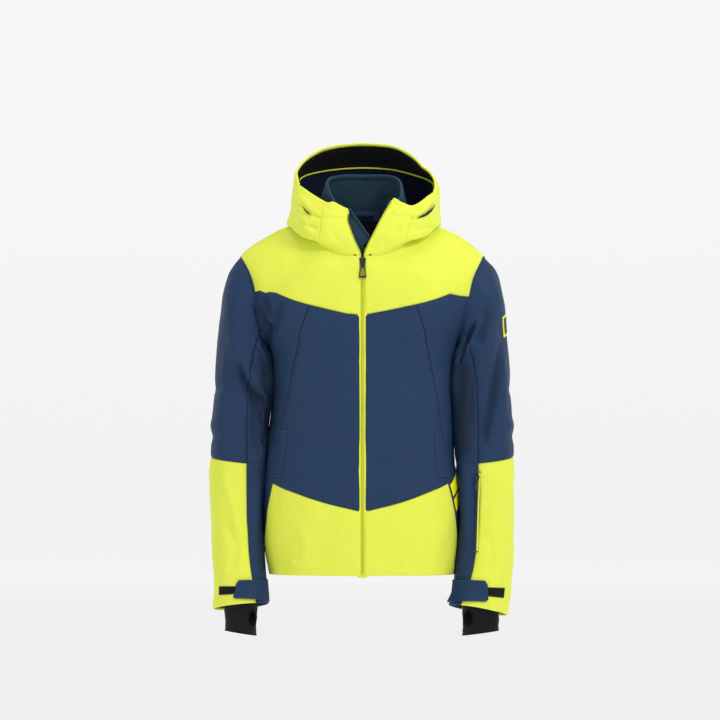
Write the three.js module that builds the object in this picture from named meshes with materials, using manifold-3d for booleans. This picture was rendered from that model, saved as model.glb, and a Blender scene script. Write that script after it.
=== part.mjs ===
// Two-tone ski jacket, men's medium, built as its sewn pieces around the shape it has when worn.
// Frame, in millimetres: +Z up, the front of the jacket faces -Y, and +X is the wearer's left.
// The origin is the middle of the face that the hanging loop rests on a hook, at the back of the neck.
import * as THREE from "three";
import Module from "manifold-3d";
import { mergeVertices } from "three/addons/utils/BufferGeometryUtils.js";

const wasm = await Module();
wasm.setup();

// ---------------------------------------------------------------- driving dimensions
const HEM_Z = -716; // lower edge of the body
const ZIP_TOP_Z = -84; // where the front zip stops being closed
const ZIP_SLOPE = 0.0443; // the front leans out this much per mm going down
const ZIP_TOP_Y = -112;
const TAPE_HALF = 9.5; // half width of the visible zip
const SHELL = 4; // padded shell
const LINING = 2;
const LINING_AT = -9; // outer face of the lining, from the shell's outer face
const SEAM = 0.6; // half the gap between two sewn panels
const PULL_LEN = 34;
const LOOP_Y = 48.5; // the hanging loop, behind the neck's middle

const yf = (z) => ZIP_TOP_Y - (ZIP_TOP_Z - z) * ZIP_SLOPE;

// ---------------------------------------------------------------- small maths
const add = (a, b) => [a[0] + b[0], a[1] + b[1], a[2] + b[2]];
const sub = (a, b) => [a[0] - b[0], a[1] - b[1], a[2] - b[2]];
const mul = (a, s) => [a[0] * s, a[1] * s, a[2] * s];
const cross = (a, b) => [a[1] * b[2] - a[2] * b[1], a[2] * b[0] - a[0] * b[2], a[0] * b[1] - a[1] * b[0]];
const len = (a) => Math.hypot(...a);
const unit = (a) => mul(a, 1 / Math.max(len(a), 1e-9));
const mix = (a, b, t) => a + (b - a) * t;
const clamp = (x, a, b) => Math.min(b, Math.max(a, x));
const cr = (p0, p1, p2, p3, t) =>
  [0, 1, 2].map((i) => 0.5 * (2 * p1[i] + (p2[i] - p0[i]) * t + (2 * p0[i] - 5 * p1[i] + 4 * p2[i] - p3[i]) * t * t + (3 * p1[i] - p0[i] - 3 * p2[i] + p3[i]) * t * t * t));
// a smooth curve through points at whole numbers, carried on straight past its ends
function along(points, u) {
  const n = points.length - 1;
  const i = clamp(Math.floor(u), 0, n - 1);
  const at = (k) => (k < 0 ? sub(mul(points[0], 2), points[1]) : k > n ? sub(mul(points[n], 2), points[n - 1]) : points[k]);
  return cr(at(i - 1), at(i), at(i + 1), at(i + 2), u - i);
}
// straight lines through [x, y] pairs
function lin(table, x) {
  if (x <= table[0][0]) return table[0][1];
  for (let i = 1; i < table.length; i++)
    if (x <= table[i][0]) return mix(table[i - 1][1], table[i][1], (x - table[i - 1][0]) / (table[i][0] - table[i - 1][0]));
  return table[table.length - 1][1];
}

// ---------------------------------------------------------------- the body's surface
// Rows run from hem to neck, columns from the middle of the front (t = 0) round the side (0.5) to the middle of the back (1).
const SECTIONS = [
  [HEM_Z, 185, 118],
  [-640, 193, 121],
  [-560, 194, 114],
  [-470, 187, 113],
  [-370, 181, 119],
  [-270, 187, 129],
];
const POWER = 2 / 2.3;
const BODY = SECTIONS.map(([z, a, b]) => {
  const row = [];
  for (let c = 0; c <= 8; c++) {
    const f = (c / 8) * Math.PI;
    const co = Math.cos(f);
    row.push([a * Math.pow(Math.abs(Math.sin(f)), POWER), co >= 0 ? yf(z) * Math.pow(co, POWER) : b * Math.pow(-co, POWER), z]);
  }
  return row;
});
BODY.push(
  [[0, yf(-215), -215], [78, -117, -215], [150, -100, -214], [198, -60, -210], [212, 2, -200], [202, 72, -202], [150, 114, -206], [76, 131, -208], [0, 134, -208]],
  [[0, yf(-165), -165], [76, -117, -165], [148, -104, -162], [210, -62, -150], [240, 2, -132], [214, 74, -135], [150, 117, -138], [75, 131, -140], [0, 134, -140]],
  [[0, yf(-130), -130], [64, -116, -128], [130, -104, -122], [196, -62, -106], [243, 4, -84], [205, 72, -82], [140, 110, -82], [70, 121, -83], [0, 125, -84]],
  [[0, yf(-104), -104], [48, -112, -98], [98, -99, -86], [146, -58, -60], [180, 4, -40], [158, 56, -32], [112, 86, -32], [56, 97, -34], [0, 101, -35]],
  [[0, yf(-84), -84], [34, -107, -78], [66, -92, -62], [94, -56, -36], [106, -6, -12], [96, 34, 0], [70, 58, 4], [36, 70, 5], [0, 74, 5]],
);
const mirrorX = (p) => [-p[0], p[1], p[2]];
function torso(side, t, r) {
  const c = t * 8;
  const column = (k) => {
    const m = k < 0 ? -k : k > 8 ? 16 - k : k;
    const p = along(BODY.map((row) => row[m]), r);
    return k < 0 || k > 8 ? mirrorX(p) : p;
  };
  const i = clamp(Math.floor(c), 0, 7);
  const p = cr(column(i - 1), column(i), column(i + 1), column(i + 2), c - i);
  return [side * p[0], p[1], p[2]];
}
// seams of the body
const ARM_R = 6.5, ARM_H = 1.5, ARM_T = 0.115;
const armT = (r, grow = 1.06) => {
  const h = 1 - ((r - ARM_R) / (ARM_H * grow)) ** 2;
  return h <= 0 ? 0.5 : 0.5 - ARM_T * grow * Math.sqrt(h);
};
const yokeR = (t) => lin([[0, 6.42], [0.08, 6.47], [0.3, 7.03], [0.34, 6.98], [0.39, 6.9]], t);
const princessT = (r) => lin([[0, 0.465], [0.6, 0.46], [1, 0.44], [1.6, 0.39], [2.28, 0.341], [3.2, 0.331], [3.6, 0.326], [4.38, 0.272], [5.1, 0.22], [6.0, 0.19], [6.7, 0.17], [10, 0.15]], r);
const hemR = (t) => lin([[0, 1.62], [0.14, 1.83], [0.341, 2.28]], t);
const zipT = (r) => {
  let a = 0, b = 0.12;
  for (let i = 0; i < 24; i++) (torso(1, (a + b) / 2, r)[0] < TAPE_HALF + 0.4 ? (a = (a + b) / 2) : (b = (a + b) / 2));
  return a;
};
// a panel whose column is cols(p, r) and row is rows(q, t)
const region = (side, cols, rows, back = false) => (p, q) => {
  let t = cols(p, 5), r = 5;
  for (let k = 0; k < 7; k++) {
    r = rows(q, t);
    t = cols(p, r);
  }
  return torso(side, back ? 1 - t : t, r);
};
// panel grids: neighbouring panels share their counts, so their edges follow the same chords
const NC = 6, NS = 4, NH = 4, NP = 9, NY = 8;
const sideT = (r) => (r < ARM_R - ARM_H * 1.06 ? 0.5 : armT(r));
const colsFront = (p, r) => mix(zipT(r), princessT(r), p);
const colsSide = (p, r) => mix(princessT(r), sideT(r), p);
const colsYoke = (p, r) => (p * (NC + NS) <= NC ? mix(zipT(r), Math.min(princessT(r), armT(r)), (p * (NC + NS)) / NC) : mix(Math.min(princessT(r), armT(r)), armT(r), (p * (NC + NS) - NC) / NS));
const rowsHem = (q, t) => hemR(t) * q;
const rowsChest = (q, t) => mix(hemR(t), yokeR(t), q);
const rowsSide = (q, t) => (q * (NH + NP) <= NH ? hemR(1) * ((q * (NH + NP)) / NH) : mix(hemR(1), yokeR(t), (q * (NH + NP) - NH) / NP));
const rowsYoke = (q, t) => mix(yokeR(t), 10, q);

// ---------------------------------------------------------------- a thick panel from a surface
// f(p, q) gives the outer face; out and th are the offset of the outer face and the thickness along the normal.
function panel(f, nu, nv, { out = 0, th = SHELL, gap = SEAM, wrap = false, sgn = 1 } = {}) {
  const P = [];
  for (let i = 0; i <= nu; i++) {
    P.push([]);
    for (let j = 0; j <= nv; j++) P[i].push(f(i / nu, j / nv));
  }
  const e = 0.004;
  const N = P.map((col, i) => col.map((_, j) => {
    const u = i / nu, v = j / nv;
    const du = wrap ? sub(f(u + e, v), f(u - e, v)) : sub(f(Math.min(1, u + e), v), f(Math.max(0, u - e), v));
    const dv = sub(f(u, Math.min(1, v + e)), f(u, Math.max(0, v - e)));
    return unit(cross(du, dv));
  }));
  const g = Array.isArray(gap) ? gap : [gap, gap, gap, gap]; // p=0, p=1, q=0, q=1
  for (let i = 0; i <= nu; i++) {
    P[i][0] = add(P[i][0], mul(unit(sub(P[i][1], P[i][0])), g[2]));
    P[i][nv] = add(P[i][nv], mul(unit(sub(P[i][nv - 1], P[i][nv])), g[3]));
  }
  if (!wrap)
    for (let j = 0; j <= nv; j++) {
      P[0][j] = add(P[0][j], mul(unit(sub(P[1][j], P[0][j])), g[0]));
      P[nu][j] = add(P[nu][j], mul(unit(sub(P[nu - 1][j], P[nu][j])), g[1]));
    }
  const nuv = wrap ? nu : nu + 1;
  const at = (i) => (wrap ? (i + nu) % nu : clamp(i, 0, nu));
  const verts = [];
  for (const off of [out, out - th])
    for (let i = 0; i < nuv; i++)
      for (let j = 0; j <= nv; j++) {
        verts.push(add(P[i][j], mul(N[i][j], sgn * off)));
      }
  const id = (l, i, j) => l * nuv * (nv + 1) + at(i) * (nv + 1) + j;
  const tris = [];
  const quad = (a, b, c, d) => tris.push(a, b, c, a, c, d);
  for (let i = 0; i < nu; i++)
    for (let j = 0; j < nv; j++) {
      quad(id(0, i, j), id(0, i + 1, j), id(0, i + 1, j + 1), id(0, i, j + 1));
      quad(id(1, i, j), id(1, i, j + 1), id(1, i + 1, j + 1), id(1, i + 1, j));
    }
  for (let i = 0; i < nu; i++) {
    quad(id(0, i, 0), id(1, i, 0), id(1, i + 1, 0), id(0, i + 1, 0));
    quad(id(0, i, nv), id(0, i + 1, nv), id(1, i + 1, nv), id(1, i, nv));
  }
  if (!wrap)
    for (let j = 0; j < nv; j++) {
      quad(id(0, 0, j), id(0, 0, j + 1), id(1, 0, j + 1), id(1, 0, j));
      quad(id(0, nu, j), id(1, nu, j), id(1, nu, j + 1), id(0, nu, j + 1));
    }
  let vol = 0;
  for (let k = 0; k < tris.length; k += 3) {
    const [a, b, c] = [verts[tris[k]], verts[tris[k + 1]], verts[tris[k + 2]]];
    vol += (a[0] * (b[1] * c[2] - b[2] * c[1]) + a[1] * (b[2] * c[0] - b[0] * c[2]) + a[2] * (b[0] * c[1] - b[1] * c[0])) / 6;
  }
  if (vol < 0) for (let k = 0; k < tris.length; k += 3) [tris[k + 1], tris[k + 2]] = [tris[k + 2], tris[k + 1]];
  const geo = new THREE.BufferGeometry();
  geo.setAttribute("position", new THREE.Float32BufferAttribute(verts.flat(), 3));
  geo.setIndex(tris);
  return geo;
}

// ---------------------------------------------------------------- colours
const std = (hex, roughness, metalness = 0) => new THREE.MeshStandardMaterial({ color: hex, roughness, metalness });
const LIME = std(0xe4f24a, 0.75), NAVY = std(0x2b4261, 0.78), NEON = std(0xf2ee12, 0.6), DARK = std(0x1b2436, 0.85), BLACK = std(0x202022, 0.8), TEAL = std(0x2c4458, 0.8), METAL = std(0x2a2a33, 0.45, 0.3);
const jacket = new THREE.Group();
function put(name, geometry, material) {
  const m = new THREE.Mesh(geometry, material);
  m.name = name;
  jacket.add(m);
  return m;
}

// ---------------------------------------------------------------- body panels
const SIDE = { left: 1, right: -1 };
for (const [name, s] of Object.entries(SIDE)) {
  put(`front_yoke_${name}`, panel(region(s, colsYoke, rowsYoke), NC + NS, NY, { sgn: s }), LIME);
  put(`front_chest_${name}`, panel(region(s, colsFront, rowsChest), NC, NP, { sgn: s }), NAVY);
  put(`side_front_${name}`, panel(region(s, colsSide, rowsSide), NS, NH + NP, { sgn: s }), NAVY);
  put(`front_hem_${name}`, panel(region(s, colsFront, rowsHem), NC, NH, { sgn: s }), LIME);
  put(`side_back_${name}`, panel(region(s, colsSide, rowsSide, true), NS, NH + NP, { sgn: -s }), NAVY);
}
// the back's middle panels run from one side to the other
const acrossBack = (cols, rows) => (p, q) => region(p < 0.5 ? -1 : 1, (u, r) => cols(Math.abs(2 * p - 1), r), rows, true)(0, q);
const colsBack = (p, r) => princessT(r) * p;
const colsBackYoke = (p, r) => (p * (NC + NS) <= NC ? Math.min(princessT(r), armT(r)) * ((p * (NC + NS)) / NC) : mix(Math.min(princessT(r), armT(r)), armT(r), (p * (NC + NS) - NC) / NS));
put("back_yoke", panel(acrossBack(colsBackYoke, rowsYoke), 2 * (NC + NS), NY, { sgn: -1 }), LIME);
put("back_centre", panel(acrossBack(colsBack, rowsChest), 2 * NC, NP, { sgn: -1 }), NAVY);
put("back_hem", panel(acrossBack(colsBack, rowsHem), 2 * NC, NH, { sgn: -1 }), LIME);

// ---------------------------------------------------------------- sleeves
// Rings: [outer x, outer z, inner x, inner z, middle y, half depth].
const RINGS = [
  null,
  [266, -114, 196, -290, 5, 66],
  [279, -160, 195, -308, 5, 68],
  [287, -222, 192, -332, 4, 68],
  [293, -290, 189, -365, 4, 66],
  [298, -390, 189, -410, 6, 63],
  [301, -450, 192, -450, 6, 61],
  [302, -520, 197, -520, 2, 59],
  [302, -600, 201, -600, -6, 58],
  [299, -690, 198, -690, -16, 58],
  [295, -750, 191, -747, -22, 60],
  [297, -788, 189, -777, -26, 62],
];
const RINGS_LEFT_END = [[294, -754, 183, -748, -24, 62], [290, -800, 171, -779, -30, 66]]; // the left cuff sits turned in a little
function ring(k, psi, left) {
  if (k === 0) return torso(1, 0.5 - ARM_T * Math.sin(psi), ARM_R + ARM_H * Math.cos(psi));
  const [xo, zo, xi, zi, y, h] = left && k > 9 ? RINGS_LEFT_END[k - 10] : RINGS[k];
  const pw = (v) => Math.sign(v) * Math.pow(Math.abs(v), 2 / 2.15);
  const c = pw(Math.cos(psi)), s = pw(Math.sin(psi));
  return [(xo + xi) / 2 + ((xo - xi) / 2) * c, y - h * s, (zo + zi) / 2 + ((zo - zi) / 2) * c];
}
function sleeve(side, psi, k) {
  const p = along(RINGS.map((_, i) => ring(i, psi, side > 0)), k);
  return [side * p[0], p[1], p[2]];
}
const DEG = Math.PI / 180;
const seamPsi = (k) => DEG * lin([[0, 125], [2, 118], [3, 112], [4, 104], [5, 103], [6, 106], [7, 109], [8, 113], [9, 118], [10, 122], [11, 125]], k);
const blockK = (psi) => 6.49 + 0.2 * Math.min(1, Math.abs(psi) / (109 * DEG)); // where the upper sleeve meets the forearm
const UNDER_K = 6.69;
const startK = (psi) => mix(0.03, 0.3, ((1 - Math.cos(psi)) / 2) ** 2); // the sleeve starts this far past the armhole seam
for (const [name, s] of Object.entries(SIDE)) {
  const outer = (k0, k1) => (p, q) => {
    let k = 5, psi = 0;
    for (let n = 0; n < 4; n++) {
      psi = mix(-seamPsi(k), seamPsi(k), p);
      k = mix(k0(psi), k1(psi), q);
    }
    return sleeve(s, psi, k);
  };
  const under = (k0, k1) => (p, q) => {
    let k = 5, psi = Math.PI;
    for (let n = 0; n < 4; n++) {
      psi = mix(seamPsi(k), 2 * Math.PI - seamPsi(k), p);
      k = mix(k0(psi), k1(psi), q);
    }
    return sleeve(s, psi, k);
  };
  put(`sleeve_upper_${name}`, panel(outer(startK, blockK), 12, 8, { sgn: s, gap: [SEAM, SEAM, 0.6, 0.8] }), NAVY);
  put(`sleeve_under_upper_${name}`, panel(under(startK, () => UNDER_K), 6, 9, { sgn: s, gap: [SEAM, SEAM, 0.6, 0.8] }), NAVY);
  put(`forearm_outer_${name}`, panel(outer(blockK, () => 11), 12, 6, { sgn: s, gap: [SEAM, SEAM, 0.8, 0] }), LIME);
  put(`forearm_under_${name}`, panel(under(() => UNDER_K, () => 11), 6, 6, { sgn: s, gap: [SEAM, SEAM, 0.8, 0] }), NAVY);
  const tube = (k0, k1) => (p, q) => sleeve(s, p * 2 * Math.PI, mix(k0, k1, q));
  put(`cuff_lining_${name}`, panel(tube(6.85, 10.9), 14, 5, { sgn: s, out: LINING_AT, th: LINING, wrap: true, gap: 0 }), DARK);
  // the loop patch and the tab that closes on it
  put(`loop_patch_${name}`, panel((p, q) => sleeve(s, mix(40, 88, p) * DEG, mix(9.83, 10.28, q)), 5, 2, { sgn: s, out: 1.9, th: 1.2, gap: 0 }), BLACK);
  put(
    `cuff_tab_${name}`,
    panel(
      (p, q) => {
        const end = mix(74, 84, Math.abs(q - 0.35) * 1.2);
        return sleeve(s, mix(166, end, p) * DEG, mix(9.66, 10.72, q));
      },
      8, 4, { sgn: -s, out: 5.4, th: 2.4, gap: 0 },
    ),
    NAVY,
  );
}

// ---------------------------------------------------------------- wrist gaiters, each with a thumb hole
async function gaiter(s) {
  const cx = s > 0 ? 236 : 243, cy = -26;
  const tube = panel(
    (p, q) => {
      const psi = p * 2 * Math.PI;
      const z = mix(-745, -834 + 5 * Math.cos(psi), q);
      const w = mix(37, s > 0 ? 36 : 31, Math.min(1, q * 1.3)), d = mix(38, 31, Math.min(1, q * 1.3));
      return [s * (cx + w * Math.cos(psi)), cy - d * Math.sin(psi), z];
    },
    18, 4, { sgn: s, th: 1.8, wrap: true, gap: 0 },
  );
  const solid = (g) => {
    const n = g.index ? g.toNonIndexed() : g.clone();
    n.deleteAttribute("normal");
    n.deleteAttribute("uv");
    const m = mergeVertices(n, 1e-4);
    return new wasm.Manifold(new wasm.Mesh({ numProp: 3, vertProperties: m.attributes.position.array, triVerts: new Uint32Array(m.index.array) }));
  };
  const hole = new THREE.CylinderGeometry(13, 13, 44, 12);
  hole.scale(1, 1, 1.35);
  hole.rotateZ(Math.PI / 2);
  hole.rotateZ(0);
  hole.rotateY(0);
  const toward = new THREE.Matrix4().makeRotationZ(s > 0 ? 0.75 : -0.75);
  hole.applyMatrix4(toward);
  hole.translate(s * (cx - 30), cy - 26, -806);
  const made = solid(tube).subtract(solid(hole));
  const m = made.getMesh();
  const geo = new THREE.BufferGeometry();
  const v = [];
  for (let i = 0; i < m.numVert; i++) v.push(m.vertProperties[i * m.numProp], m.vertProperties[i * m.numProp + 1], m.vertProperties[i * m.numProp + 2]);
  geo.setAttribute("position", new THREE.Float32BufferAttribute(v, 3));
  geo.setIndex(Array.from(m.triVerts));
  return geo;
}
for (const [name, s] of Object.entries(SIDE)) put(`wrist_gaiter_${name}`, await gaiter(s), BLACK);

// ---------------------------------------------------------------- hood and collar
// Stations from the right front edge round the back to the left front edge, each from the neck seam up to the rim.
const COWL = [
  [[-7, -113, -81], [-20, -113, -56], [-30, -109, -30], [-36, -104, -8], [-31, -98, 10]],
  [[-44, -108, -77], [-52, -114, -56], [-54, -113, -30], [-56, -107, -4], [-57, -98, 23]],
  [[-76, -94, -63], [-84, -108, -54], [-84, -110, -30], [-84, -104, -4], [-77, -90, 24]],
  [[-100, -56, -38], [-122, -84, -44], [-132, -80, -16], [-134, -72, 16], [-123, -58, 50]],
  [[-112, -6, -12], [-152, -18, -22], [-147, -14, 6], [-143, -12, 38], [-138, -8, 66]],
  [[-101, 34, 1], [-150, 62, -22], [-153, 70, 14], [-146, 62, 62], [-133, 45, 102]],
  [[-74, 60, 6], [-118, 128, -32], [-126, 138, 18], [-122, 120, 80], [-109, 90, 130]],
  [[-38, 74, 7], [-66, 166, -40], [-72, 180, 18], [-74, 160, 92], [-62, 118, 148]],
  [[0, 78, 7], [2, 178, -42], [2, 194, 18], [2, 172, 98], [2, 128, 154]],
];
const shiftR = (p, dx) => [-p[0] + dx, p[1], p[2]];
for (let i = 7; i >= 3; i--) COWL.push(COWL[i].map((p, w) => shiftR(p, w ? 7 : 0)));
COWL[12][4] = [150, -8, 54];
COWL[12][3] = [152, -12, 32];
COWL[13][4] = [132, -58, 34];
COWL.push(
  [[76, -94, -63], [86, -108, -54], [94, -108, -30], [104, -100, -4], [106, -84, 17]],
  [[44, -108, -77], [60, -114, -56], [70, -111, -30], [78, -104, -2], [84, -93, 21]],
  [[7, -113, -81], [19, -113, -56], [32, -109, -30], [48, -103, 0], [67, -96, 28]],
);
const cowl = (s, w) => along(COWL.map((st) => along(st, w)), s);
// the neck seam end keeps clear of the body panels
const HOOD_FRONT = 2.05, HOOD_END = 13.95;
put("collar_front_right", panel((p, q) => cowl(mix(0, HOOD_FRONT, p), mix(0.18, 4, q)), 4, 7, { sgn: -1, gap: [3.6, 0.8, 0, 0] }), LIME);
put("collar_front_left", panel((p, q) => cowl(mix(HOOD_END, 16, p), mix(0.18, 4, q)), 4, 7, { sgn: -1, gap: [0.8, 3.6, 0, 0] }), LIME);
const bandTop = 0.62;
const HOOD_W = [0, 1, 2, 3, 4, 5, 6, 7, 8].map((i) => mix(bandTop, 4, i / 8));
const HOOD_S = [0, 1, 2, 3, 4, 5, 6, 7].map((i) => mix(HOOD_FRONT, 6, i / 7)).concat([1, 2, 3, 4, 5, 6, 7, 8].map((i) => 6 + i / 2), [1, 2, 3, 4, 5, 6, 7].map((i) => mix(10, HOOD_END, i / 7)));
const stepped = (list, p) => { const u = p * (list.length - 1), i = clamp(Math.floor(u), 0, list.length - 2); return mix(list[i], list[i + 1], u - i); };
put("hood_base_band", panel((p, q) => cowl(stepped(HOOD_S, p), mix(0.16, bandTop, q)), 22, 2, { sgn: -1, gap: [0.8, 0.8, 0, 0.8], th: 3 }), LIME);
const hoodPiece = (a, b, n, g0 = 0.8, g1 = 0.8) => panel((p, q) => cowl(mix(a, b, p), stepped(HOOD_W, q)), n, 8, { sgn: -1, gap: [g0, g1, 0.8, 0], th: 3 });
put("hood_side_right", hoodPiece(HOOD_FRONT, 6, 7, 4), LIME);
put("hood_centre", hoodPiece(6, 10, 8), LIME);
put("hood_side_left", hoodPiece(10, HOOD_END, 7, 0.8, 6.5), LIME);
put("hood_lining", panel((p, q) => cowl(stepped(HOOD_S, p), stepped(HOOD_W.slice(2, 7), q)), 22, 4, { sgn: -1, out: -5, th: 1.8, gap: [7, 7, 0, 1.6] }), DARK);
put("hood_rim_facing", panel((p, q) => cowl(stepped(HOOD_S, p), stepped([HOOD_W[6], HOOD_W[7], 3.94], q)), 22, 2, { sgn: -1, out: -5, th: 1.8, gap: [7, 7, 0.8, 0] }), BLACK);

// the stand collar inside the hood
const NECK_IN = [[-16, -106, -66], [-54, -94, -56], [-88, -52, -30], [-96, -6, -6], [-82, 32, 6], [-46, 58, 10], [0, 64, 11], [46, 58, 10], [82, 32, 6], [96, -6, -6], [88, -52, -30], [54, -94, -56], [16, -106, -66]];
const NECK_TOP = [[-28, -90, 4], [-56, -80, 24], [-70, -44, 52], [-72, -14, 68], [-62, 20, 76], [-34, 44, 80], [2, 52, 80], [38, 44, 80], [66, 20, 76], [78, -14, 64], [80, -44, 52], [78, -74, 34], [60, -88, 20]];
put(
  "inner_collar",
  panel((p, q) => { const a = along(NECK_IN, p * 12), b = along(NECK_TOP, p * 12); return a.map((v, i) => mix(v, b[i], q)); }, 24, 4, { sgn: -1, th: 3, gap: 0 }),
  TEAL,
);

// ---------------------------------------------------------------- front zip
// A strip that follows points, w wide from x0 to x1 of its own side, with its face at off behind the front line.
const zipDir = unit([0, -ZIP_SLOPE, -1]);
const zipNormal = unit([0, -1, ZIP_SLOPE]); // out of the front
const ZIP_BOTTOM_Z = -724;
function zipSide(s) {
  // the edge nearest the middle: straight up to the top of the closed zip, then along the collar's edge
  const edge = s < 0 ? COWL[0] : COWL[16];
  const path = [];
  for (let i = 0; i <= 3; i++) path.push({ c: [s * 0.8, yf(mix(ZIP_BOTTOM_Z, ZIP_TOP_Z - 3, i / 3)), mix(ZIP_BOTTOM_Z, ZIP_TOP_Z - 3, i / 3)], o: [s, 0, 0] });
  for (let i = 1; i <= 6; i++) {
    const w = mix(0.22, 4, i / 6);
    const c = along(edge, w);
    const next = along(edge, Math.min(4, w + 0.05)), prev = along(edge, w - 0.05);
    const inward = unit(sub(along(s < 0 ? COWL[1] : COWL[15], w), c));
    path.push({ c: add(c, mul(inward, -7.0)), o: inward, t: sub(next, prev) });
  }
  // cross-section: tape with the coil behind its inner edge
  const sect = [[0, -1.2], [8.6, -1.2], [8.6, -2.8], [3, -2.8], [3, -5.0], [0, -5.0]];
  const verts = [], tris = [];
  for (const st of path) {
    const o = st.t ? unit(st.o) : [s, 0, 0];
    let n = zipNormal;
    if (st.t) {
      n = unit(cross(st.t, o));
      if (n[1] > 0) n = mul(n, -1);
    }
    for (const [a, b] of sect) verts.push(add(add(st.c, mul(o, st.t ? a * 0.72 : a)), mul(n, b)));
  }
  const m = sect.length;
  for (let i = 0; i + 1 < path.length; i++)
    for (let k = 0; k < m; k++) {
      const a = i * m + k, b = i * m + ((k + 1) % m), c = a + m, d = b + m;
      tris.push(a, b, d, a, d, c);
    }
  const cap = (base, rev) => {
    for (const [a, b, c] of [[0, 1, 2], [0, 2, 3], [0, 3, 4], [0, 4, 5]]) tris.push(...(rev ? [base + a, base + c, base + b] : [base + a, base + b, base + c]));
  };
  cap(0, true);
  cap((path.length - 1) * m, false);
  let vol = 0;
  for (let k = 0; k < tris.length; k += 3) {
    const [a, b, c] = [verts[tris[k]], verts[tris[k + 1]], verts[tris[k + 2]]];
    vol += (a[0] * (b[1] * c[2] - b[2] * c[1]) + a[1] * (b[2] * c[0] - b[0] * c[2]) + a[2] * (b[0] * c[1] - b[1] * c[0])) / 6;
  }
  if (vol < 0) for (let k = 0; k < tris.length; k += 3) [tris[k + 1], tris[k + 2]] = [tris[k + 2], tris[k + 1]];
  const geo = new THREE.BufferGeometry();
  geo.setAttribute("position", new THREE.Float32BufferAttribute(verts.flat(), 3));
  geo.setIndex(tris);
  return geo;
}
put("zip_tape_left", zipSide(1), LIME);
put("zip_tape_right", zipSide(-1), LIME);

// A solid drawn in the plane of the front (x across, y up the zip), from depth d0 to d1 in front of the zip line, at height z.
function onFront(shape, z, d0, d1) {
  const g = new THREE.ExtrudeGeometry(shape, { depth: d1 - d0, bevelEnabled: false, curveSegments: 6 });
  g.translate(0, 0, d0);
  const m = new THREE.Matrix4().makeBasis(new THREE.Vector3(1, 0, 0), new THREE.Vector3(...mul(zipDir, -1)), new THREE.Vector3(...zipNormal));
  m.setPosition(0, yf(z), z);
  g.applyMatrix4(m);
  return g;
}
const poly = (pts) => {
  const sh = new THREE.Shape();
  pts.forEach(([x, y], i) => (i ? sh.lineTo(x, y) : sh.moveTo(x, y)));
  return sh;
};
const merged = (g) => {
  const n = g.index ? g.toNonIndexed() : g.clone();
  n.deleteAttribute("normal");
  n.deleteAttribute("uv");
  const m = mergeVertices(n, 1e-4);
  return new wasm.Manifold(new wasm.Mesh({ numProp: 3, vertProperties: m.attributes.position.array, triVerts: new Uint32Array(m.index.array) }));
};
function geometryOf(made) {
  const m = made.getMesh();
  const v = [];
  for (let i = 0; i < m.numVert; i++) v.push(m.vertProperties[i * m.numProp], m.vertProperties[i * m.numProp + 1], m.vertProperties[i * m.numProp + 2]);
  const geo = new THREE.BufferGeometry();
  geo.setAttribute("position", new THREE.Float32BufferAttribute(v, 3));
  geo.setIndex(Array.from(m.triVerts));
  return geo;
}
const join = (...geos) => geometryOf(geos.slice(1).reduce((made, g) => made.add(merged(g)), merged(geos[0])));
const cut = (geo, tool) => geometryOf(merged(geo).subtract(merged(tool)));
const SLIDER_Z = -96; // middle of the slider
const sliderShape = poly([[-6, 9], [6, 9], [6, 5], [3.4, -9], [-3.4, -9], [-6, 5]]);
const strut = (y0, y1) => poly([[-1.5, y0], [1.5, y0], [1.5, y1], [-1.5, y1]]);
put(
  "zip_slider",
  join(
    onFront(sliderShape, SLIDER_Z, -0.8, 1.6), // front plate, over the tapes
    onFront(sliderShape, SLIDER_Z, -7.6, -5.4), // rear plate, behind the coils
    onFront(poly([[-0.4, 8], [0.4, 8], [0.4, -8], [-0.4, -8]]), SLIDER_Z, -6, 0), // web between the two coils
    onFront(strut(7, 5.2), SLIDER_Z, 1.4, 6.2), // bridge that carries the pull
    onFront(strut(-4.2, -6), SLIDER_Z, 1.4, 6.2),
    onFront(strut(7, -6), SLIDER_Z, 5.0, 6.2),
  ),
  METAL,
);
const PULL_PIVOT_Z = SLIDER_Z + 2; // the pull's bar lies under the bridge
const pull = poly([[-4, 1], [4, 1], [4, -10], [7.5, 3 - PULL_LEN], [6.5, 1 - PULL_LEN], [-6.5, 1 - PULL_LEN], [-7.5, 3 - PULL_LEN], [-4, -10]]);
const eye = poly([[-2.2, -1], [-2.2, -9.5], [2.2, -9.5], [2.2, -1]]);
const window = poly([[-2.3, -12.5], [-5, 5 - PULL_LEN], [5, 5 - PULL_LEN], [2.3, -12.5]]);
put("zip_pull", cut(cut(onFront(pull, PULL_PIVOT_Z, 2.2, 4.2), onFront(eye, PULL_PIVOT_Z, 1, 5)), onFront(window, PULL_PIVOT_Z, 1, 5)), METAL);
put(
  "zip_box",
  onFront(poly([[-6.2, 6], [6.2, 6], [6.2, -2], [-6.2, -2]]), ZIP_BOTTOM_Z - 7, -6, 0.2),
  LIME,
);

// the draught flap behind the zip, which folds out of the open collar on the right
{
  const stations = [
    [[-18, -14], [20, -14], -712],
    [[-18, -14], [20, -14], -500],
    [[-18, -14], [20, -14], -300],
    [[-18, -14], [20, -14], -160],
    [[-17, -14], [18, -14], -104],
  ];
  const rows = stations.map(([a, b, z]) => [[a[0], yf(z) - a[1], z], [b[0], yf(z) - b[1], z]]);
  rows.push([[-20, -98, -70], [14, -97, -70]]);
  rows.push([[-29, -92, -40], [8, -93, -52]]);
  rows.push([[-36, -86, -12], [-14, -88, -22]]);
  rows.push([[-31, -84, 4], [-22, -86, 1]]);
  put("draught_flap", panel((p, q) => along([along(rows.map((r) => r[0]), q * 8), along(rows.map((r) => r[1]), q * 8)], p), 2, 16, { sgn: -1, th: 2, gap: 0 }), TEAL);
}

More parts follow.
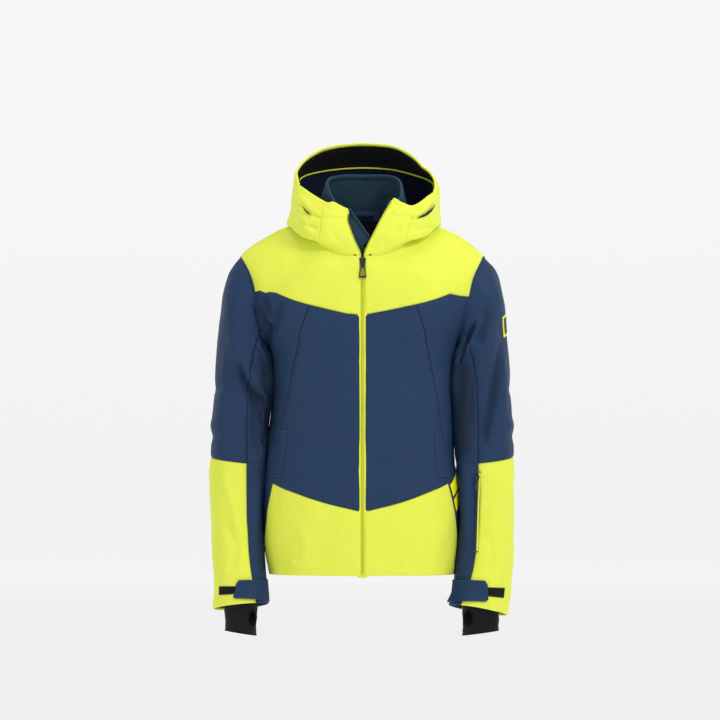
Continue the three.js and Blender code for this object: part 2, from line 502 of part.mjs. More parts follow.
// ---------------------------------------------------------------- linings
const liningT = (r) => (r < ARM_R - ARM_H * 1.12 ? 0.5 : armT(r, 1.12));
const rowsLining = (q) => mix(0.25, 9.6, q);
for (const [name, s] of Object.entries(SIDE))
  put(`lining_front_${name}`, panel(region(s, (p, r) => mix(zipT(r) * 2.4 + 0.02, liningT(r), p), rowsLining), 10, 16, { sgn: s, out: LINING_AT, th: LINING, gap: 0.8 }), DARK);
put("lining_back", panel(acrossBack((p, r) => liningT(r) * p, rowsLining), 20, 16, { sgn: -1, out: LINING_AT, th: LINING, gap: 0.8 }), DARK);

// ---------------------------------------------------------------- hanging loop at the back of the neck
{
  const o = [[-34, 9], [34, 9], [34, -12], [22, -12], [22, 0], [-22, 0], [-22, -12], [-34, -12]];
  const g = new THREE.ExtrudeGeometry(poly(o.map(([x, z]) => [x, z])), { depth: 7, bevelEnabled: false });
  g.rotateX(Math.PI / 2);
  g.translate(0, LOOP_Y + 3.5, 0);
  put("hang_loop", g, NAVY);
}

// ---------------------------------------------------------------- trim on the left: side stripes, badge, sleeve pocket
const stripe = (ra, rb, rise) => (p, q) => {
  const t0 = princessT(mix(ra, rb, q)) + 0.012;
  const t = mix(t0, 0.487, p);
  return torso(1, t, mix(ra, rb, q) + rise * p);
};
put("side_stripe_upper", panel(stripe(1.98, 2.24, 0.42), 4, 2, { sgn: 1, out: 1.1, th: 0.7, gap: 0 }), NEON);
put("side_stripe_lower", panel(stripe(1.62, 1.9, 0.42), 4, 2, { sgn: 1, out: 1.1, th: 0.7, gap: 0 }), NEON);
put("sleeve_badge", panel((p, q) => sleeve(1, mix(-14, 30, p) * DEG, mix(2.62, 3.28, q)), 3, 2, { sgn: 1, out: 1.2, th: 0.8, gap: 0 }), NEON);
// sleeve pocket zip, on the forearm's front seam: a straight coil, its slider and its pull
{
  const a = sleeve(1, seamPsi(6.95) - 0.02, 6.95), b = sleeve(1, seamPsi(8.75) - 0.02, 8.75);
  const d = unit(sub(b, a));
  const n = unit([-0.35, -0.93, 0]);
  const nn = unit(sub(n, mul(d, n[0] * d[0] + n[1] * d[1] + n[2] * d[2])));
  const x = unit(cross(d, nn)); // across the zip
  // the chord lies inside the curved sleeve in its middle, so the coil stands clear of the cloth there
  const lift = 5.2;
  const place = (shape, d0, d1, at) => {
    const g = new THREE.ExtrudeGeometry(shape, { depth: d1 - d0, bevelEnabled: false, curveSegments: 5 });
    g.translate(0, 0, d0);
    const m = new THREE.Matrix4().makeBasis(new THREE.Vector3(...x), new THREE.Vector3(...mul(d, -1)), new THREE.Vector3(...cross(x, mul(d, -1))));
    m.setPosition(...add(a, add(mul(d, at), mul(nn, lift))));
    g.applyMatrix4(m);
    return g;
  };
  const L = len(sub(b, a));
  const sgnN = (() => { const c = cross(x, mul(d, -1)); return c[0] * nn[0] + c[1] * nn[1] + c[2] * nn[2] > 0 ? 1 : -1; })();
  const dep = (p, q) => (sgnN > 0 ? [p, q] : [-q, -p]);
  put("pocket_zip", place(poly([[-4, -L], [4, -L], [4, 0], [-4, 0]]), ...dep(-1.6, 0), 0), DARK);
  const post = (y0, y1) => poly([[-0.9, y0], [0.9, y0], [0.9, y1], [-0.9, y1]]);
  const at = 9; // middle of the slider, from the top of the zip
  put(
    "pocket_slider",
    join(place(poly([[-3, -4.5], [3, -4.5], [4, 4.5], [-4, 4.5]]), ...dep(0.4, 3.2), at), place(post(2.6, 3.6), ...dep(3, 6.4), at), place(post(-3.6, -2.6), ...dep(3, 6.4), at), place(post(-3.6, 3.6), ...dep(5.6, 6.4), at)),
    METAL,
  );
  const tag = poly([[-2.4, 0.6], [2.4, 0.6], [2.4, -7], [1.7, -9], [2.8, -24], [1.8, -27], [-1.8, -27], [-2.8, -24], [-1.7, -9], [-2.4, -7]]);
  put("pocket_pull", cut(place(tag, ...dep(3.8, 5.0), at - 1.2), place(poly([[-1.4, -0.6], [-1.4, -6], [1.4, -6], [1.4, -0.6]]), ...dep(3, 6), at - 1.2)), METAL);
}
// hand pockets: a welt over a closed zip on each princess seam
for (const [name, s] of Object.entries(SIDE)) {
  const at = (p, q) => torso(s, princessT(mix(2.42, 3.42, q)) - mix(0.052, 0.004, p), mix(2.42, 3.42, q));
  put(`pocket_welt_${name}`, panel(at, 2, 5, { sgn: s, out: 2.4, th: 1.8, gap: 0 }), NAVY);
}

jacket.position.set(0, -LOOP_Y, 0); // the frame's origin is under the hanging loop
export default jacket;
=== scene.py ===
import json
import math

import bmesh
import bpy
import numpy as np
from mathutils import Matrix, Vector


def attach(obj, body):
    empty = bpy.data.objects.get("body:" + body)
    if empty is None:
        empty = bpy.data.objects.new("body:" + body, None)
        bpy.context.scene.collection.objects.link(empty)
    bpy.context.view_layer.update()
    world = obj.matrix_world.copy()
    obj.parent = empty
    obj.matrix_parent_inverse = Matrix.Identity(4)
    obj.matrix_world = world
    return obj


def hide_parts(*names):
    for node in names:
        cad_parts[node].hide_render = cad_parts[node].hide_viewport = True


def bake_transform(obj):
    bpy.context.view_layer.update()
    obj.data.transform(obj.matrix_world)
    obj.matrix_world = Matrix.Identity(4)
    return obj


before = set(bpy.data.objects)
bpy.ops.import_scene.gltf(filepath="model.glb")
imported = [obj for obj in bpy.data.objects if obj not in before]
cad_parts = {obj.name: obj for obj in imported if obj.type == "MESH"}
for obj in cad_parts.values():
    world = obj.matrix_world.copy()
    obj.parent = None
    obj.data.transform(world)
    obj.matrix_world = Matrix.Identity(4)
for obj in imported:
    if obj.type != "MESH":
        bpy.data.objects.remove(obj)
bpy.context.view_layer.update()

# ------------------------------------------------------------------ surfaces (millimetres, before the shift to the hanging loop)
LOOP_Y = 48.5
HEM_Z, ZIP_TOP_Z, ZIP_SLOPE, ZIP_TOP_Y = -716.0, -84.0, 0.0443, -112.0
ZIP_BOTTOM_Z = -724.0
POWER = 2 / 2.3
LINING_AT = -9.0


def smooth(x, a, b):
    t = np.clip((x - a) / (b - a), 0, 1)
    return t * t * (3 - 2 * t)


def yf(z):
    return ZIP_TOP_Y - (ZIP_TOP_Z - z) * ZIP_SLOPE


def cr(p0, p1, p2, p3, t):
    return 0.5 * (2 * p1 + (p2 - p0) * t + (2 * p0 - 5 * p1 + 4 * p2 - p3) * t * t + (3 * p1 - p0 - 3 * p2 + p3) * t**3)


def ends(a, axis):
    """a with one more slice at each end of an axis, carried on straight."""
    a = np.moveaxis(a, axis, 0)
    a = np.concatenate([(2 * a[0] - a[1])[None], a, (2 * a[-1] - a[-2])[None]])
    return np.moveaxis(a, 0, axis)


def bicubic(ext, u, v, nu, nv):
    """ext has one extra slice at each end; u and v run over 0..nu and 0..nv."""
    u, v = np.broadcast_arrays(np.asarray(u, float), np.asarray(v, float))
    i = np.clip(np.floor(u).astype(int), 0, nu - 1)
    j = np.clip(np.floor(v).astype(int), 0, nv - 1)
    fu, fv = (u - i)[..., None], (v - j)[..., None]
    cols = [cr(*(ext[i + a, j + b] for a in range(4)), fu) for b in range(4)]
    return cr(*cols, fv)


BODY = []
for z, a, b in [(HEM_Z, 185, 118), (-640, 193, 121), (-560, 194, 114), (-470, 187, 113), (-370, 181, 119), (-270, 187, 129)]:
    row = []
    for c in range(9):
        f = c / 8 * math.pi
        co = math.cos(f)
        x = a * abs(math.sin(f)) ** POWER
        y = yf(z) * co**POWER if co >= 0 else b * (-co) ** POWER
        row.append((x, y, z))
    BODY.append(row)
BODY += [
    [(0, yf(-215), -215), (78, -117, -215), (150, -100, -214), (198, -60, -210), (212, 2, -200), (202, 72, -202), (150, 114, -206), (76, 131, -208), (0, 134, -208)],
    [(0, yf(-165), -165), (76, -117, -165), (148, -104, -162), (210, -62, -150), (240, 2, -132), (214, 74, -135), (150, 117, -138), (75, 131, -140), (0, 134, -140)],
    [(0, yf(-130), -130), (64, -116, -128), (130, -104, -122), (196, -62, -106), (243, 4, -84), (205, 72, -82), (140, 110, -82), (70, 121, -83), (0, 125, -84)],
    [(0, yf(-104), -104), (48, -112, -98), (98, -99, -86), (146, -58, -60), (180, 4, -40), (158, 56, -32), (112, 86, -32), (56, 97, -34), (0, 101, -35)],
    [(0, yf(-84), -84), (34, -107, -78), (66, -92, -62), (94, -56, -36), (106, -6, -12), (96, 34, 0), (70, 58, 4), (36, 70, 5), (0, 74, 5)],
]
BODY = np.array(BODY, float)
_b = np.concatenate([BODY[:, 1:2] * [-1, 1, 1], BODY, BODY[:, 7:8] * [-1, 1, 1]], axis=1)
BODY_EXT = ends(_b, 0)


def torso(side, t, r):
    p = bicubic(BODY_EXT, r, np.asarray(t, float) * 8, 10, 8)
    p = p * np.stack([np.broadcast_to(side, p.shape[:-1]).astype(float), np.ones(p.shape[:-1]), np.ones(p.shape[:-1])], -1)
    # the body leans a little to the wearer's right below the chest, but not at the zip
    lean = 6.0 * smooth(np.abs(p[..., 0]), 20, 150) * smooth(-p[..., 2], 330, 520) * smooth(p[..., 2], -760, -640)
    lean = lean * np.where(p[..., 0] > 0, smooth(p[..., 2], -548, -495), 1.0)
    return p - np.stack([lean, 0 * lean, 0 * lean], -1)


ARM_R, ARM_H, ARM_T = 6.5, 1.5, 0.115


def arm_t(r):
    h = 1 - ((np.asarray(r, float) - ARM_R) / ARM_H) ** 2
    return np.where(h <= 0, 0.5, 0.5 - ARM_T * np.sqrt(np.maximum(h, 0)))


def tab(pairs):
    x, y = zip(*pairs)
    return lambda v: np.interp(v, x, y)


_yr = {1: tab([(0, 6.27), (0.08, 6.45), (0.3, 7.0), (0.345, 6.82), (0.39, 6.72)]), -1: tab([(0, 6.27), (0.05, 6.33), (0.17, 6.66), (0.3, 7.04), (0.325, 7.03), (0.335, 6.95), (0.36, 7.0), (0.39, 6.88)]), 0: tab([(0, 6.42), (0.08, 6.47), (0.3, 7.03), (0.34, 6.98), (0.39, 6.9)])}
YOKE_SIDE = 0  # which side's yoke line is in use; 0 is the back


def yoke_r(t):
    if YOKE_SIDE:
        near = _yr[YOKE_SIDE](t)
        return np.where(np.asarray(t) > 0.384, np.minimum(near, near), near)
    return _yr[0](t)


_pr = np.array([(0, 0.465), (0.6, 0.46), (1, 0.44), (1.6, 0.39), (2.28, 0.341), (3.2, 0.331), (3.6, 0.326), (4.38, 0.272), (5.1, 0.22), (6.0, 0.19), (6.7, 0.17), (10, 0.15)])


def princess_t(r):
    """The corner points of the seam, with its corners eased."""
    r = np.asarray(r, float)
    return sum(w * np.interp(r + d, _pr[:, 0], _pr[:, 1]) for d, w in ((-0.16, 0.25), (0, 0.5), (0.16, 0.25)))


hem_r = tab([(0, 1.61), (0.082, 1.78), (0.14, 1.91), (0.2, 2.04), (0.25, 2.13), (0.341, 2.28)])
_rr = np.linspace(-0.2, 10.4, 213)
_lo, _hi = np.zeros_like(_rr), np.full_like(_rr, 0.12)
for _ in range(24):
    _m = (_lo + _hi) / 2
    _in = torso(1, _m, _rr)[..., 0] < 8.0
    _lo, _hi = np.where(_in, _m, _lo), np.where(_in, _hi, _m)


def zip_t(r):
    return np.interp(r, _rr, _lo)


def region(side, cols, rows, back=False):
    def f(p, q):
        p, q = np.broadcast_arrays(p, q)
        t, r = cols(p, 5.0 + 0 * p), 5.0 + 0 * p
        for _ in range(9):
            r = rows(q, t)
            t = cols(p, r)
        return torso(side, 1 - t if back else t, r)

    return f


def mix(a, b, t):
    return a + (b - a) * t


def side_t(r):
    return np.where(np.asarray(r) < ARM_R - ARM_H, 0.5, arm_t(r))


def arm_rows(r0, q):
    """Rows from r0 to the top of the armhole and on to the neck, evenly spaced round the armhole's edge."""
    phi0 = np.arcsin(np.clip((r0 - ARM_R) / ARM_H, -1, 1))
    cut = 0.62
    phi = mix(phi0, math.pi / 2, np.clip(q / cut, 0, 1))
    return np.where(q <= cut, ARM_R + ARM_H * np.sin(phi), mix(ARM_R + ARM_H, 10.0, (q - cut) / (1 - cut)))


def rows_side(q, t):
    cut = 0.76
    top = yoke_r(t)
    phi = mix(-math.pi / 2, np.arcsin(np.clip((top - ARM_R) / ARM_H, -1, 1)), np.clip((q - cut) / (1 - cut), 0, 1))
    return np.where(q <= cut, (ARM_R - ARM_H) * q / cut, ARM_R + ARM_H * np.sin(phi))


RINGS = [
    None,
    (266, -114, 196, -290, 5, 66),
    (279, -160, 195, -308, 5, 68),
    (287, -222, 192, -332, 4, 68),
    (293, -290, 189, -365, 4, 66),
    (298, -390, 189, -410, 6, 63),
    (301, -450, 192, -450, 6, 61),
    (302, -520, 197, -520, 2, 59),
    (302, -600, 201, -600, -6, 58),
    (299, -690, 198, -690, -16, 58),
    (295, -750, 191, -747, -22, 60),
    (297, -788, 189, -777, -26, 62),
]
RINGS_LEFT_END = [(294, -754, 183, -748, -24, 62), (290, -800, 171, -779, -30, 66)]


def ring(k, psi, left):
    if k == 0:
        return torso(1, 0.5 - ARM_T * np.sin(psi), ARM_R + ARM_H * np.cos(psi))
    xo, zo, xi, zi, y, h = RINGS_LEFT_END[k - 10] if left and k > 9 else RINGS[k]
    pw = lambda v: np.sign(v) * np.abs(v) ** (2 / 2.15)
    c, s = pw(np.cos(psi)), pw(np.sin(psi))
    return np.stack([(xo + xi) / 2 + (xo - xi) / 2 * c, y - h * s, (zo + zi) / 2 + (zo - zi) / 2 * c], -1)


def sleeve(side, psi, k):
    psi, k = np.broadcast_arrays(np.asarray(psi, float), np.asarray(k, float))
    rings = ends(np.stack([ring(i, psi, side > 0) for i in range(12)]), 0)
    i = np.clip(np.floor(k).astype(int), 0, 10)
    f = (k - i)[..., None]
    pick = [np.take_along_axis(rings, (i + a)[None, ..., None], 0)[0] for a in range(4)]
    p = cr(*pick, f)
    inner = smooth(-np.cos(psi), 0.36, 1.0)
    w = inner * smooth(k, 0.3, 1.5) * smooth(9.3 - k, 0, 2.2)
    near = 16.5 * smooth(k, 0.2, 0.9) * smooth(5.4 - k, 0, 2.4) + (3.0 if side < 0 else 7.5) * smooth(k, 3.6, 6.0) * smooth(10.2 - k, 0, 1.6)
    if side > 0:
        near = near + 6.5 * smooth(k, 8.0, 9.2) * smooth(10.4 - k, 0, 1.3)
    p = p - np.stack([inner * near, w * 26.0, 0 * w], -1)
    p[..., 2] = p[..., 2] + smooth(k, 9.7, 11.0) * (7.0 * np.sin(psi) + 3.0)
    return p * [side, 1, 1]


DEG = math.pi / 180
_seam = tab([(0, 125), (2, 118), (3, 112), (4, 104), (5, 103), (6, 106), (7, 109), (8, 113), (9, 118), (10, 122), (11, 125)])


def seam_psi(k):
    return DEG * sum(w * _seam(np.asarray(k, float) + d) for d, w in ((-0.5, 0.25), (0, 0.5), (0.5, 0.25)))


def block_k(psi):
    return 6.49 + 0.2 * np.minimum(1, np.abs(psi) / (109 * DEG))


UNDER_K = 6.69
COWL = [
    [(-7, -113, -81), (-20, -113, -56), (-30, -109, -30), (-36, -104, -8), (-31, -98, 10)],
    [(-44, -108, -77), (-52, -114, -56), (-54, -113, -30), (-56, -107, -4), (-57, -98, 23)],
    [(-76, -94, -63), (-84, -108, -54), (-84, -110, -30), (-84, -104, -4), (-77, -90, 24)],
    [(-100, -56, -38), (-122, -84, -44), (-132, -80, -16), (-134, -72, 16), (-123, -58, 50)],
    [(-112, -6, -12), (-152, -18, -22), (-147, -14, 6), (-143, -12, 38), (-138, -8, 66)],
    [(-101, 34, 1), (-150, 62, -22), (-153, 70, 14), (-146, 62, 62), (-133, 45, 102)],
    [(-74, 60, 6), (-118, 128, -32), (-126, 138, 18), (-122, 120, 80), (-109, 90, 130)],
    [(-38, 74, 7), (-66, 166, -40), (-72, 180, 18), (-74, 160, 92), (-62, 118, 148)],
    [(0, 78, 7), (2, 178, -42), (2, 194, 18), (2, 172, 98), (2, 128, 154)],
]
for _i in range(7, 2, -1):
    COWL.append([(-x + (7 if w else 0), y, z) for w, (x, y, z) in enumerate(COWL[_i])])
COWL[12][4], COWL[12][3], COWL[13][4] = (150, -8, 54), (152, -12, 32), (132, -58, 34)
COWL += [
    [(76, -94, -63), (86, -108, -54), (94, -108, -30), (104, -100, -4), (106, -84, 17)],
    [(44, -108, -77), (60, -114, -56), (70, -111, -30), (78, -104, -2), (84, -93, 21)],
    [(7, -113, -81), (19, -113, -56), (32, -109, -30), (48, -103, 0), (67, -96, 28)],
]
COWL = np.array(COWL, float)
COWL_EXT = ends(ends(COWL, 0), 1)


_trim_right = tab([(-60, 0), (-42, 7), (-8, 8), (6, 8), (38, 4), (60, 0), (74, 0), (86, 7), (102, 19), (118, 22), (160, 20)])
_trim_left = tab([(-40, 0), (-10, 8), (6, 11), (38, 8), (70, 6), (88, 1), (102, 2), (118, 8), (160, 8)])


def eased(f, z, d=9.0):
    return sum(g * f(z + d * h) for g, h in ((0.11, -2), (0.22, -1), (0.34, 0), (0.22, 1), (0.11, 2)))


def cowl(s, w):
    """The hood and collar: s from the right zip edge round the back to the left, w from the neck seam to the rim."""
    p = bicubic(COWL_EXT, s, w, 16, 4)
    x, z = p[..., 0], p[..., 2]
    cut = np.where(x > 0, eased(_trim_right, z), -eased(_trim_left, z)) * smooth(np.abs(x), 45, 135)
    return p - np.stack([cut, 0 * cut, 7.0 * smooth(z, 70, 150)], -1)


HOOD_FRONT, HOOD_END, BAND_TOP = 2.05, 13.95, 0.62
NECK_IN = np.array([(-16, -106, -66), (-54, -94, -56), (-88, -52, -30), (-96, -6, -6), (-82, 32, 6), (-46, 58, 10), (0, 64, 11), (46, 58, 10), (82, 32, 6), (96, -6, -6), (88, -52, -30), (54, -94, -56), (16, -106, -66)], float)
NECK_TOP = np.array([(-28, -90, 4), (-56, -80, 24), (-70, -44, 52), (-72, -14, 68), (-62, 20, 76), (-34, 44, 80), (2, 52, 80), (38, 44, 80), (66, 20, 76), (78, -14, 64), (80, -44, 52), (78, -74, 34), (60, -88, 20)], float)


def along(points, u):
    e = ends(np.asarray(points, float), 0)
    n = len(points) - 1
    u = np.asarray(u, float)
    i = np.clip(np.floor(u).astype(int), 0, n - 1)
    return cr(*(e[i + a] for a in range(4)), (u - i)[..., None])


# ------------------------------------------------------------------ relief
_rng = np.random.default_rng(7)
_perm = np.tile(_rng.permutation(256), 3)
_grad = _rng.normal(size=(256, 3))
_grad /= np.linalg.norm(_grad, axis=1)[:, None]


def noise3(p):
    i = np.floor(p).astype(int)
    f = p - i
    i = i & 255
    u = f * f * f * (f * (f * 6 - 15) + 10)
    out = 0
    for dx in (0, 1):
        for dy in (0, 1):
            for dz in (0, 1):
                h = _perm[_perm[_perm[i[..., 0] + dx] + i[..., 1] + dy] + i[..., 2] + dz]
                d = f - np.array([dx, dy, dz])
                w = (u[..., 0] if dx else 1 - u[..., 0]) * (u[..., 1] if dy else 1 - u[..., 1]) * (u[..., 2] if dz else 1 - u[..., 2])
                out = out + w * (_grad[h] * d).sum(-1)
    return out * 1.6


def stroke(x, z, points, width, amp, sharp=1.0, taper=0.18):
    """A fold along points: height amp, half width on its left side and width * sharp on its right, fading at its ends."""
    pts = np.array(points, float)
    best = np.full(x.shape, 1e9)
    sgn = np.ones(x.shape)
    frac = np.zeros(x.shape)
    seg = np.linalg.norm(np.diff(pts, axis=0), axis=1)
    cum = np.concatenate([[0], np.cumsum(seg)])
    for i in range(len(pts) - 1):
        a, d = pts[i], pts[i + 1] - pts[i]
        px, pz = x - a[0], z - a[1]
        t = np.clip((px * d[0] + pz * d[1]) / (d @ d), 0, 1)
        ex, ez = px - t * d[0], pz - t * d[1]
        dist = np.hypot(ex, ez)
        near = dist < best
        best = np.where(near, dist, best)
        sgn = np.where(near, np.sign(d[0] * pz - d[1] * px), sgn)
        frac = np.where(near, (cum[i] + t * seg[i]) / cum[-1], frac)
    w = np.where(sgn > 0, width, width * sharp)
    env = smooth(frac, 0, taper) * smooth(1 - frac, 0, taper)
    return amp * env * np.exp(-((best / w) ** 2))


def spots(*pairs):
    """Places across (x) and down (y) the front, in 2 mm steps from the zip's line and the collar, as x, z in millimetres."""
    return [((a - 362.5) * 2.0, (215 - b) * 2.0) for a, b in pairs]


# folds on the front: points, half width, height, sharpness of the right side
FRONT_FOLDS = [
    # yoke, right and left of the wearer
    (spots((302, 250), (288, 274), (268, 300)), 17, -1.5, 1.3),
    (spots((276, 246), (262, 268), (248, 296)), 15, 1.2, 1.0),
    (spots((330, 256), (316, 280), (296, 308)), 19, 1.0, 1.0),
    (spots((420, 250), (442, 276), (462, 306)), 17, -1.4, 1.0),
    (spots((450, 244), (468, 270), (480, 300)), 15, 1.1, 1.0),
    # under the yoke, towards the armpit
    (spots((263, 292), (266, 302), (269, 320)), 6, -2.6, 1.0),
    (spots((283, 300), (277, 316), (272, 336)), 8, -2.2, 1.3),
    (spots((252, 300), (258, 312), (267, 331), (270, 345)), 6, -4.2, 0.8),
    (spots((475.6, 321), (467, 337), (459, 355), (454, 368)), 6, -4.4, 0.8),
    (spots((480, 318), (472, 336), (465, 356)), 7, 2.6, 1.0),
    # right sleeve
    (spots((250, 392), (258, 412), (263, 432), (266, 452)), 7, -4.0, 1.2),
    (spots((258, 345), (262, 366), (268, 384)), 5, -2.6, 1.0),
    (spots((262, 386), (266, 398), (270, 412)), 5, 2.0, 1.0),
    (spots((255, 312), (262, 330), (266, 352)), 4, -3.0, 0.7),
    (spots((236, 357), (240.7, 372), (246, 382), (256, 396), (263, 404), (273, 413)), 5, -4.2, 2.2),
    (spots((243, 358), (250, 374), (262, 392), (272, 402)), 7, 3.0, 1.0),
    (spots((225, 326), (226.6, 366), (234, 424)), 11, -1.8, 1.0),
    (spots((234, 330), (236, 362), (242, 400)), 9, 1.4, 1.0),
    (spots((252, 410), (256, 436), (258, 456)), 9, -2.6, 1.0),
    (spots((267, 352), (268, 390), (269, 436)), 13, -2.2, 1.0),
    (spots((254, 306), (262, 318), (272, 332)), 4, -3.2, 1.0),
    # left sleeve
    (spots((460, 340), (459, 390), (459, 440)), 10, -2.2, 1.0),
    (spots((501, 338), (498, 366), (494, 394), (488, 422), (480, 452)), 7, -3.6, 1.3),
    (spots((507, 350), (505, 384), (499, 420)), 9, 1.6, 1.0),
    (spots((488, 300), (485.4, 324), (475.6, 347)), 8, -2.4, 1.0),
    (spots((492, 330), (488, 362), (484, 392)), 10, 1.8, 1.0),
    (spots((470, 372), (468, 400), (466, 432)), 8, -2.6, 1.0),
    # body
    (spots((300, 356), (292, 396), (284, 428)), 14, 1.2, 1.0),
    (spots((330, 330), (322, 380), (318, 440)), 22, -1.2, 1.0),
    (spots((400, 330), (406, 390), (404, 450)), 22, -1.2, 1.0),
    (spots((300, 482), (318, 460), (346, 444)), 16, 1.0, 1.0),
    (spots((424, 474), (404, 454), (382, 442)), 16, 1.0, 1.0),
    # hem
    (spots((288, 560), (304, 567), (322, 563)), 5, 1.7, 0.8),
    (spots((382, 567), (396, 571), (412, 567)), 5, 1.6, 0.8),
    (spots((300, 520), (306, 545), (304, 568)), 10, 1.0, 1.0),
    (spots((420, 520), (416, 545), (420, 568)), 10, 1.0, 1.0),
    # forearms
    (spots((222, 470), (232, 500), (240, 540)), 10, 1.8, 0.8),
    (spots((226, 520), (236, 545), (232, 574)), 9, -1.8, 1.0),
    (spots((500, 470), (494, 510), (490, 545)), 10, 1.8, 1.0),
    (spots((486, 530), (492, 552), (486, 576)), 8, -1.8, 1.0),
]
BACK_FOLDS = [
    ([(-150, -230), (-90, -300), (-40, -420)], 14, -3.0, 0.8),
    ([(150, -230), (95, -310), (50, -430)], 14, -3.0, 0.8),
    ([(-120, -430), (-60, -455), (10, -450)], 12, 2.4, 0.8),
    ([(130, -470), (60, -490), (-20, -500)], 12, 2.2, 0.8),
    ([(-60, -120), (0, -160), (60, -122)], 16, -2.0, 1.0),
    ([(250, -300), (240, -360), (262, -420)], 9, -3.0, 0.7),
    ([(-250, -300), (-242, -360), (-262, -420)], 9, -3.0, 0.7),
    ([(-280, -440), (-250, -470), (-215, -475)], 9, 2.6, 0.8),
    ([(280, -440), (250, -470), (215, -475)], 9, 2.6, 0.8),
]


# folds on the outer side of both sleeves: points across (y) and up (z), half width, height, sharpness
SIDE_FOLDS = [
    ([(-60, -190), (-38, -250), (-22, -330)], 13, -1.8, 1.0),
    ([(-62, -330), (-20, -352), (38, -346)], 12, -2.4, 0.8),
    ([(58, -392), (14, -420), (-48, -414)], 12, 2.2, 0.8),
    ([(-66, -452), (-20, -440), (44, -452)], 10, -2.6, 1.2),
    ([(52, -500), (8, -516), (-40, -508)], 12, 2.0, 1.0),
    ([(-56, -590), (-4, -624), (34, -680)], 13, -1.9, 0.8),
    ([(40, -560), (12, -590), (-10, -640)], 12, 1.6, 1.0),
]
# where arm and body lie against each other and the cloth stays in shade: points, half width, depth
CONTACT_SHADE = [
    (spots((262, 340), (267, 372), (268, 410), (266, 462)), 19, 1.0),
    (spots((258, 440), (262, 480), (266, 540), (268, 575)), 9, 0.55),
    (spots((466, 340), (462, 372), (462, 410), (463, 478)), 19, 1.0),
    (spots((462, 440), (460, 490), (458, 545), (455, 575)), 8, 0.55),
]


def fold_shade(P, N):
    """0 to 1: how much painted shade each point gets, from how deep in a fold it lies and where arm and body touch."""
    x, z = P[..., 0], P[..., 2]
    face, rear = smooth(-N[..., 1], 0.0, 0.45), smooth(N[..., 1], 0.0, 0.45)
    d = np.zeros(x.shape)
    for pts, w, a, sh in FRONT_FOLDS:
        if a < -2.0:
            d = np.maximum(d, face * stroke(x, z, pts, w * 1.25, -a / 5.4, sh, 0.3))
    for pts, w, a, sh in BACK_FOLDS:
        if a < -2.0:
            d = np.maximum(d, 0.6 * rear * stroke(x, z, pts, w * 1.2, -a / 4.2, sh, 0.3))
    for pts, w, a in CONTACT_SHADE:
        d = np.maximum(d, face * stroke(x, z, pts, w, a, 1.0, 0.25))
    return np.clip(d, 0, 1)


def relief(P, N, rough=1.0):
    """Folds and softness of the padded cloth at points P with outward normals N, in millimetres."""
    x, z = P[..., 0], P[..., 2]
    h = 2.9 * noise3(P / [85, 85, 120] + 3.1) + 1.7 * noise3(P / [38, 38, 54] + 11.7) + 0.5 * noise3(P / [16, 16, 26] + 5.3)
    h = h * rough
    face = smooth(-N[..., 1], 0.05, 0.55)
    for pts, w, a, sh in FRONT_FOLDS:
        h = h + 1.9 * face * stroke(x, z, pts, w, a, sh)
    rear = smooth(N[..., 1], 0.05, 0.55)
    for pts, w, a, sh in BACK_FOLDS:
        h = h + 1.6 * rear * stroke(x, z, pts, w, a, sh)
    flank = smooth(np.abs(N[..., 0]), 0.55, 0.9) * smooth(np.abs(x), 225, 250)
    for pts, w, a, sh in SIDE_FOLDS:
        h = h + 1.1 * flank * stroke(P[..., 1], z, pts, w, a, sh)
    return h


# ------------------------------------------------------------------ mesh building
def to_row(P):
    return (np.asarray(P, float) - [0, LOOP_Y, 0]) / 1000.0


def new_object(name, verts, faces, material, uvs=None, shade=True):
    me = bpy.data.meshes.new(name)
    me.from_pydata([tuple(v) for v in verts], [], [tuple(int(i) for i in f) for f in faces])
    me.validate()
    if uvs is not None and len(uvs) == len(verts):
        layer = me.uv_layers.new(name="cloth")
        idx = np.empty(len(me.loops), np.int32)
        me.loops.foreach_get("vertex_index", idx)
        layer.data.foreach_set("uv", np.asarray(uvs, np.float32)[idx].ravel())
    if shade:
        me.polygons.foreach_set("use_smooth", np.ones(len(me.polygons), bool))
    me.materials.append(material)
    ob = bpy.data.objects.new(name, me)
    bpy.context.scene.collection.objects.link(ob)
    return ob


PIECES = {}


